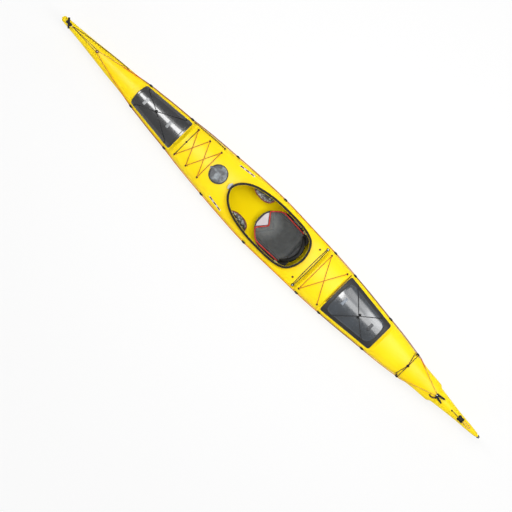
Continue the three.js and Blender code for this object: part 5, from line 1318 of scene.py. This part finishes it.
def puffed(obj, cap, pinned):
    """Swells a padded piece as cloth under pressure: remeshed, simulated, held near its start, applied."""
    remesh = obj.modifiers.new("remesh", "REMESH")
    remesh.mode, remesh.voxel_size = "VOXEL", VOXEL / 1000
    evaluated(obj)
    start = [v.co.copy() for v in obj.data.vertices]
    group = obj.vertex_groups.new(name="held")
    group.add([v.index for v in obj.data.vertices if pinned(*in_millimetres(v))], 1.0, "REPLACE")
    cloth = obj.modifiers.new("cloth", "CLOTH")
    cloth.settings.use_pressure = True
    cloth.settings.uniform_pressure_force = PRESSURE
    cloth.settings.vertex_group_mass = "held"
    cloth.settings.effector_weights.gravity = 0
    cloth.settings.quality = 5
    cloth.collision_settings.use_collision = False
    cloth.point_cache.frame_start, cloth.point_cache.frame_end = 1, CLOTH_FRAMES
    scene = bpy.context.scene
    for number in range(1, CLOTH_FRAMES + 1):
        scene.frame_set(number)
    evaluated(obj)
    obj.vertex_groups.clear()
    scene.frame_set(1)
    for vertex, place in zip(obj.data.vertices, start):
        move = vertex.co - place
        if move.length > cap / 1000:
            vertex.co = place + move.normalized() * cap / 1000
    fine = obj.modifiers.new("fine", "SUBSURF")
    fine.levels = fine.render_levels = 1
    evaluated(obj)
    return obj


def build_cushion():
    swell = 5
    fore, full, slot = x_at(SEAT_FORE), CUSHION_THICK - swell, "seat_fabric"
    outline = cushion_outline(4)
    loops = drawn_in(outline, midline(outline, 170, 150), [k / 10 for k in range(10, 0, -1)], on_seat(0.6))
    for inset, share in ((3.5, 0.04), (0.8, 0.16), (0, 0.32), (1.5, 0.5), (5, 0.68), (11, 0.84), (20, 0.95)):
        loops.append(raised(cushion_outline(inset + swell * 0.5), on_seat(0.6 + full * share)))
    outline = cushion_outline(20 + swell * 0.5)
    line = midline(outline, 170, 150)
    for k in range(1, 15):
        loops += drawn_in(outline, line, [k / 14], on_seat(0.6 + full * lerp(0.95, 1, min(k / 4, 1))))
    pad = puffed(skin("seat_pad", loops), 9, lambda x, y, z: z < seat_top(x, y) + 2.5)
    for vertex in pad.data.vertices:
        x, y, z = in_millimetres(vertex)
        ground = seat_top(x, y) + 0.5
        height = z - ground
        if height > 8:
            depth = channel(fore - x, y, CHANNEL_WIDTH * 0.62)
            height = min(height - 6.5 * depth * depth * (3 - 2 * depth), CUSHION_THICK + 5)
        vertex.co.z = (ground + max(height, 0)) / 1000
    dressed(pad, slot, FABRIC, ["seat_cushion"], 75)

    outline = cushion_outline(-1.0, 260)
    last = fore - 0.83 * SEAT_LENGTH
    start = next(i for i in range(len(outline)) if outline[i - 1][0] <= last < outline[i][0])
    run = [p for p in outline[start:] + outline[:start] if p[0] > last]
    cord("seat_pad_piping", spaced(raised(run, on_seat(12)), 220, closed=False), 5.6, slot, PIPING)

    tip, leg, _, _ = cushion_points()
    nose, wing, back = fore - tip[0] + 15, fore - leg[0] + 3, fore - 19
    corners = [(nose, 0, 3), (wing, 15 - leg[1], 4), (back, -52, 24), (back, 52, 24), (wing, leg[1] - 15, 4)]
    outline, shares = flat(rounded_outline(corners, 6)), [k / 8 for k in range(9)]
    line = [(fore - leg[0] - 12, 0)] * len(outline)
    loops = drawn_in(outline, line, shares[::-1], on_seat(0.3)) + drawn_in(outline, line, shares, on_seat(1.3))
    dressed(skin("blank_patch", loops), slot, PATCH, sharp=50)

    for name, ends, y, width, material in (
        ("seat_webbing_port", (-228, -262), 183, 22, BEIGE),
        ("seat_webbing_starboard", (-228, -262), -183, 22, BEIGE),
        # The grey strip on the starboard side is a painted highlight, standing for a glint on the seat's side.
        ("seat_painted_glint", (-98, -190), -190, 7, GLINT),
    ):
        places = [(lerp(*ends, k / 8), y) for k in range(9)]
        strip(name, places, width, 3, on_seat(0.3), on_seat(2.6), slot, material)


def backrest_section(turn, inner, outer, low, high, edge):
    """A rounded upright section of the backrest's ring at a turn from straight aft."""
    bend = (2 * abs(turn)) ** 2
    angle = radians(BACK_SPAN * turn)
    top = high - BACK_DROP * bend
    corners = [(inner, low, edge), (outer, low, edge), (outer, top, edge), (inner, top, edge)]
    return [(HINGE[0] - p.x * cos(angle), p.x * sin(angle), p.y) for p in rounded_outline(corners, 6)]


def build_backrest():
    steps, x, y, z = 60, *HINGE
    inner, outer = BACK_RADIUS, BACK_RADIUS + BACK_SHELL
    rings = [backrest_section(k / steps - 0.5, inner, outer, BACK_LOW, BACK_HIGH, 2.3) for k in range(steps + 1)]
    shell, reach, half = loft("backrest_band", rings), radians(BACK_SPAN / 2), BACK_ARM / 2
    end, high = x - outer * cos(reach) - BACK_ARM, BACK_LOW + BACK_ARM
    near = BACK_RADIUS * sin(reach) + 1
    corners = [
        (end, BACK_LOW, 2), (x - 20, z - half, 30), (x + half, z - half, 10), (x + half, z + half, 10),
        (x - 20, high, 16), (end, high, 4),
    ]  # fmt: skip
    arm = rounded_outline(corners, 6)
    slab = [(end, BACK_LOW + 1), (end + BACK_ARM, BACK_LOW + 1), (end + BACK_ARM, high - 1), (end, high - 1)]
    for side in (1, -1):
        combine(shell, upright("arm", arm, side, y, y - BACK_SHELL), "UNION")
        combine(shell, upright("slab", slab, side, near, y - 1), "UNION")
        combine(shell, upright("hole", circle(x, PIN_RADIUS + GAP, 32, z), side, y - 20, y + 20))
    dressed(shell, "backrest_plastic", BACK_GLOSS, ["backrest_shell"], 40, "backrest")

    swell, span = 4, 0.47
    outer = BACK_RADIUS - 0.8
    inner, low, high = outer - BACK_PAD + 1 + swell, BACK_LOW + 5 + swell, BACK_HIGH - 5 - swell
    rings = []
    for k in range(steps + 1):
        tuck = 6 * (1 - min(min(k, steps - k) / 4, 1)) ** 2
        turn = span * (2 * k / steps - 1)
        rings.append(backrest_section(turn, inner + tuck, outer - tuck * 0.3, low + tuck, high - tuck, 13))
    pad = puffed(loft("backrest_cushion", rings), 6, lambda px, py, pz: hypot(px - x, py) > outer - 3)
    for vertex in pad.data.vertices:
        px, py = vertex.co.x * 1000 - x, vertex.co.y * 1000
        far = hypot(px, py)
        if far > outer:
            vertex.co.x, vertex.co.y = (x + px * outer / far) / 1000, py * outer / far / 1000
    dressed(pad, "backrest_foam", PAD_FABRIC, ["backrest_pad"], 75, "backrest")


def build_brace_piping():
    fore = aft_of(COCKPIT_FORE) + BRACE_FORE
    for label, side in SIDES:
        points = []
        for along, across in BRACE_EDGE:
            aft, y = fore + along * BRACE_LENGTH, across * COCKPIT_WIDTH / 2 - 1.5
            points.append((x_at(aft), side * y, deck_z(aft, y, -WALL - 3.8)))
        cord(f"brace_piping_{label}", through(points, per=8), 5.5, "seat_fabric", DARK_PIPING)


build_hull()
build_deck()
build_rim()
charcoal, one_ball, two_balls = LID_CHARCOAL, [(0, BALL_RADIUS)], [(-14, 12.5), (12.5, 12.5)]
build_hatch("bow_hatch", BOW_HATCH, charcoal, "black_lid", charcoal, (BAR_GREY, BAR_GREY), one_ball)
build_hatch("stern_hatch", STERN_HATCH, FRAME_RUBBER, "grey_lid", LID_SLATE, (BAR_PAINTED_HIGHLIGHT, BAR_DARK), two_balls)
for build in (
    build_day_hatch, build_bungees, build_strips, build_deck_lines, build_ends, build_hull_screws, build_rim_glint,
    build_seat, build_cushion, build_backrest, build_brace_piping,
):  # fmt: skip
    build()

# CAD nodes that stay, grouped by their finish and by how far their edges are rounded

KEPT = {
    (FOAM, 0): "bow_bulkhead stern_bulkhead",
    (FRAME_RUBBER, 0.8): "day_hatch_pod",
    (FITTING, 0.8): "bow_toggle_post",
    (FITTING, 1): "bow_toggle stern_bracket",
    (FITTING, 1.5): "stern_cleat bow_toggle_plate foot_pedal_port foot_pedal_starboard",
    (BRACE, 1): "thigh_brace_port thigh_brace_starboard",
    (ALLOY, 1): "foot_rail_port foot_rail_starboard",
}
for (material, width), names in KEPT.items():
    for obj in [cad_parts[name] for name in names.split()]:
        if obj.hide_render:
            continue
        obj.data.materials.clear()
        obj.data.materials.append(material)
        if width:
            bevel(obj, width)

# Floor, light and world


def seen_rays(tree):
    """1 for the rays that show the background itself, or its reflection."""
    rays = tree.nodes.new("ShaderNodeLightPath").outputs
    seen = maths(tree, "MAXIMUM", rays["Is Camera Ray"], rays["Is Glossy Ray"])
    return maths(tree, "MAXIMUM", seen, rays["Is Transmission Ray"])


def add_floor():
    size = 60.0
    floor = add_object("floor", bpy.data.meshes.new("floor"))
    corners = [(-size, -size, 0), (size, -size, 0), (size, size, 0), (-size, size, 0)]
    floor.data.from_pydata(corners, [], [(0, 1, 2, 3)])
    material, tree, shader, _ = nodes_of("floor_pale")
    feed(tree, shader, {"Base Color": (0.88, 0.88, 0.88, 1), "Roughness": 0.9, "Specular IOR Level": 0.1})
    glow = node(tree, "Emission", "Emission", {})
    share = maths(tree, "MULTIPLY", seen_rays(tree), 0.82)
    surface = node(tree, "MixShader", "Shader", {"Fac": share, 1: shader.outputs["BSDF"], 2: glow})
    feed(tree, tree.nodes["Material Output"], {"Surface": surface})
    floor.data.materials.append(material)


def add_light(name, place, target, size, power, diffuse=True):
    data = bpy.data.lights.new(name, "AREA")
    data.shape = "RECTANGLE"
    data.size, data.size_y = size
    data.energy = power
    light = add_object(name, data)
    light.location = place
    light.visible_camera, light.visible_diffuse = False, diffuse
    light.rotation_euler = (Vector(target) - Vector(place)).to_track_quat("-Z", "Y").to_euler()


def add_world():
    world = bpy.data.worlds.new("studio")
    bpy.context.scene.world = world
    world.use_nodes = True
    tree = world.node_tree
    strength = maths(tree, "ADD", maths(tree, "MULTIPLY", seen_rays(tree), 0.62), 0.38)
    feed(tree, tree.nodes["Background"], {"Color": (1, 1, 1, 1), "Strength": strength})


add_floor()
add_world()
for name, (x, y, z), size, power, diffuse in (
    ("overhead_strip", (0, -0.3, 4.2), (6.6, 0.6), 100, True),
    ("overhead_fade", (0, -0.82, 4.2), (6.6, 0.44), 24, True),
    ("highlight", (1.3, -0.33, 4.1), (3.8, 0.62), 98, False),
    ("highlight_stern", (-1.95, -1.2, 4.1), (1.3, 1.2), 38, False),
    ("overhead_stern", (-1.5, -1.35, 4.2), (1.9, 1.5), 42, True),
):
    add_light(name, (x, y, z), (x, y, 0.25), size, power, diffuse)
add_light("fill_port", (0, 5.5, 3.0), (0, 0, 0.2), (7.0, 2.0), 60)
add_light("fill_starboard", (0, -5.5, 3.0), (0, 0, 0.2), (7.0, 2.0), 60)
add_light("fill_bow", (5.2, 0, 2.6), (2.2, 0, 0.25), (1.0, 1.0), 12)
add_light("fill_stern", (-5.2, 0, 2.6), (-2.2, 0, 0.25), (1.0, 1.0), 12)
bpy.context.scene.view_settings.view_transform = "Standard"
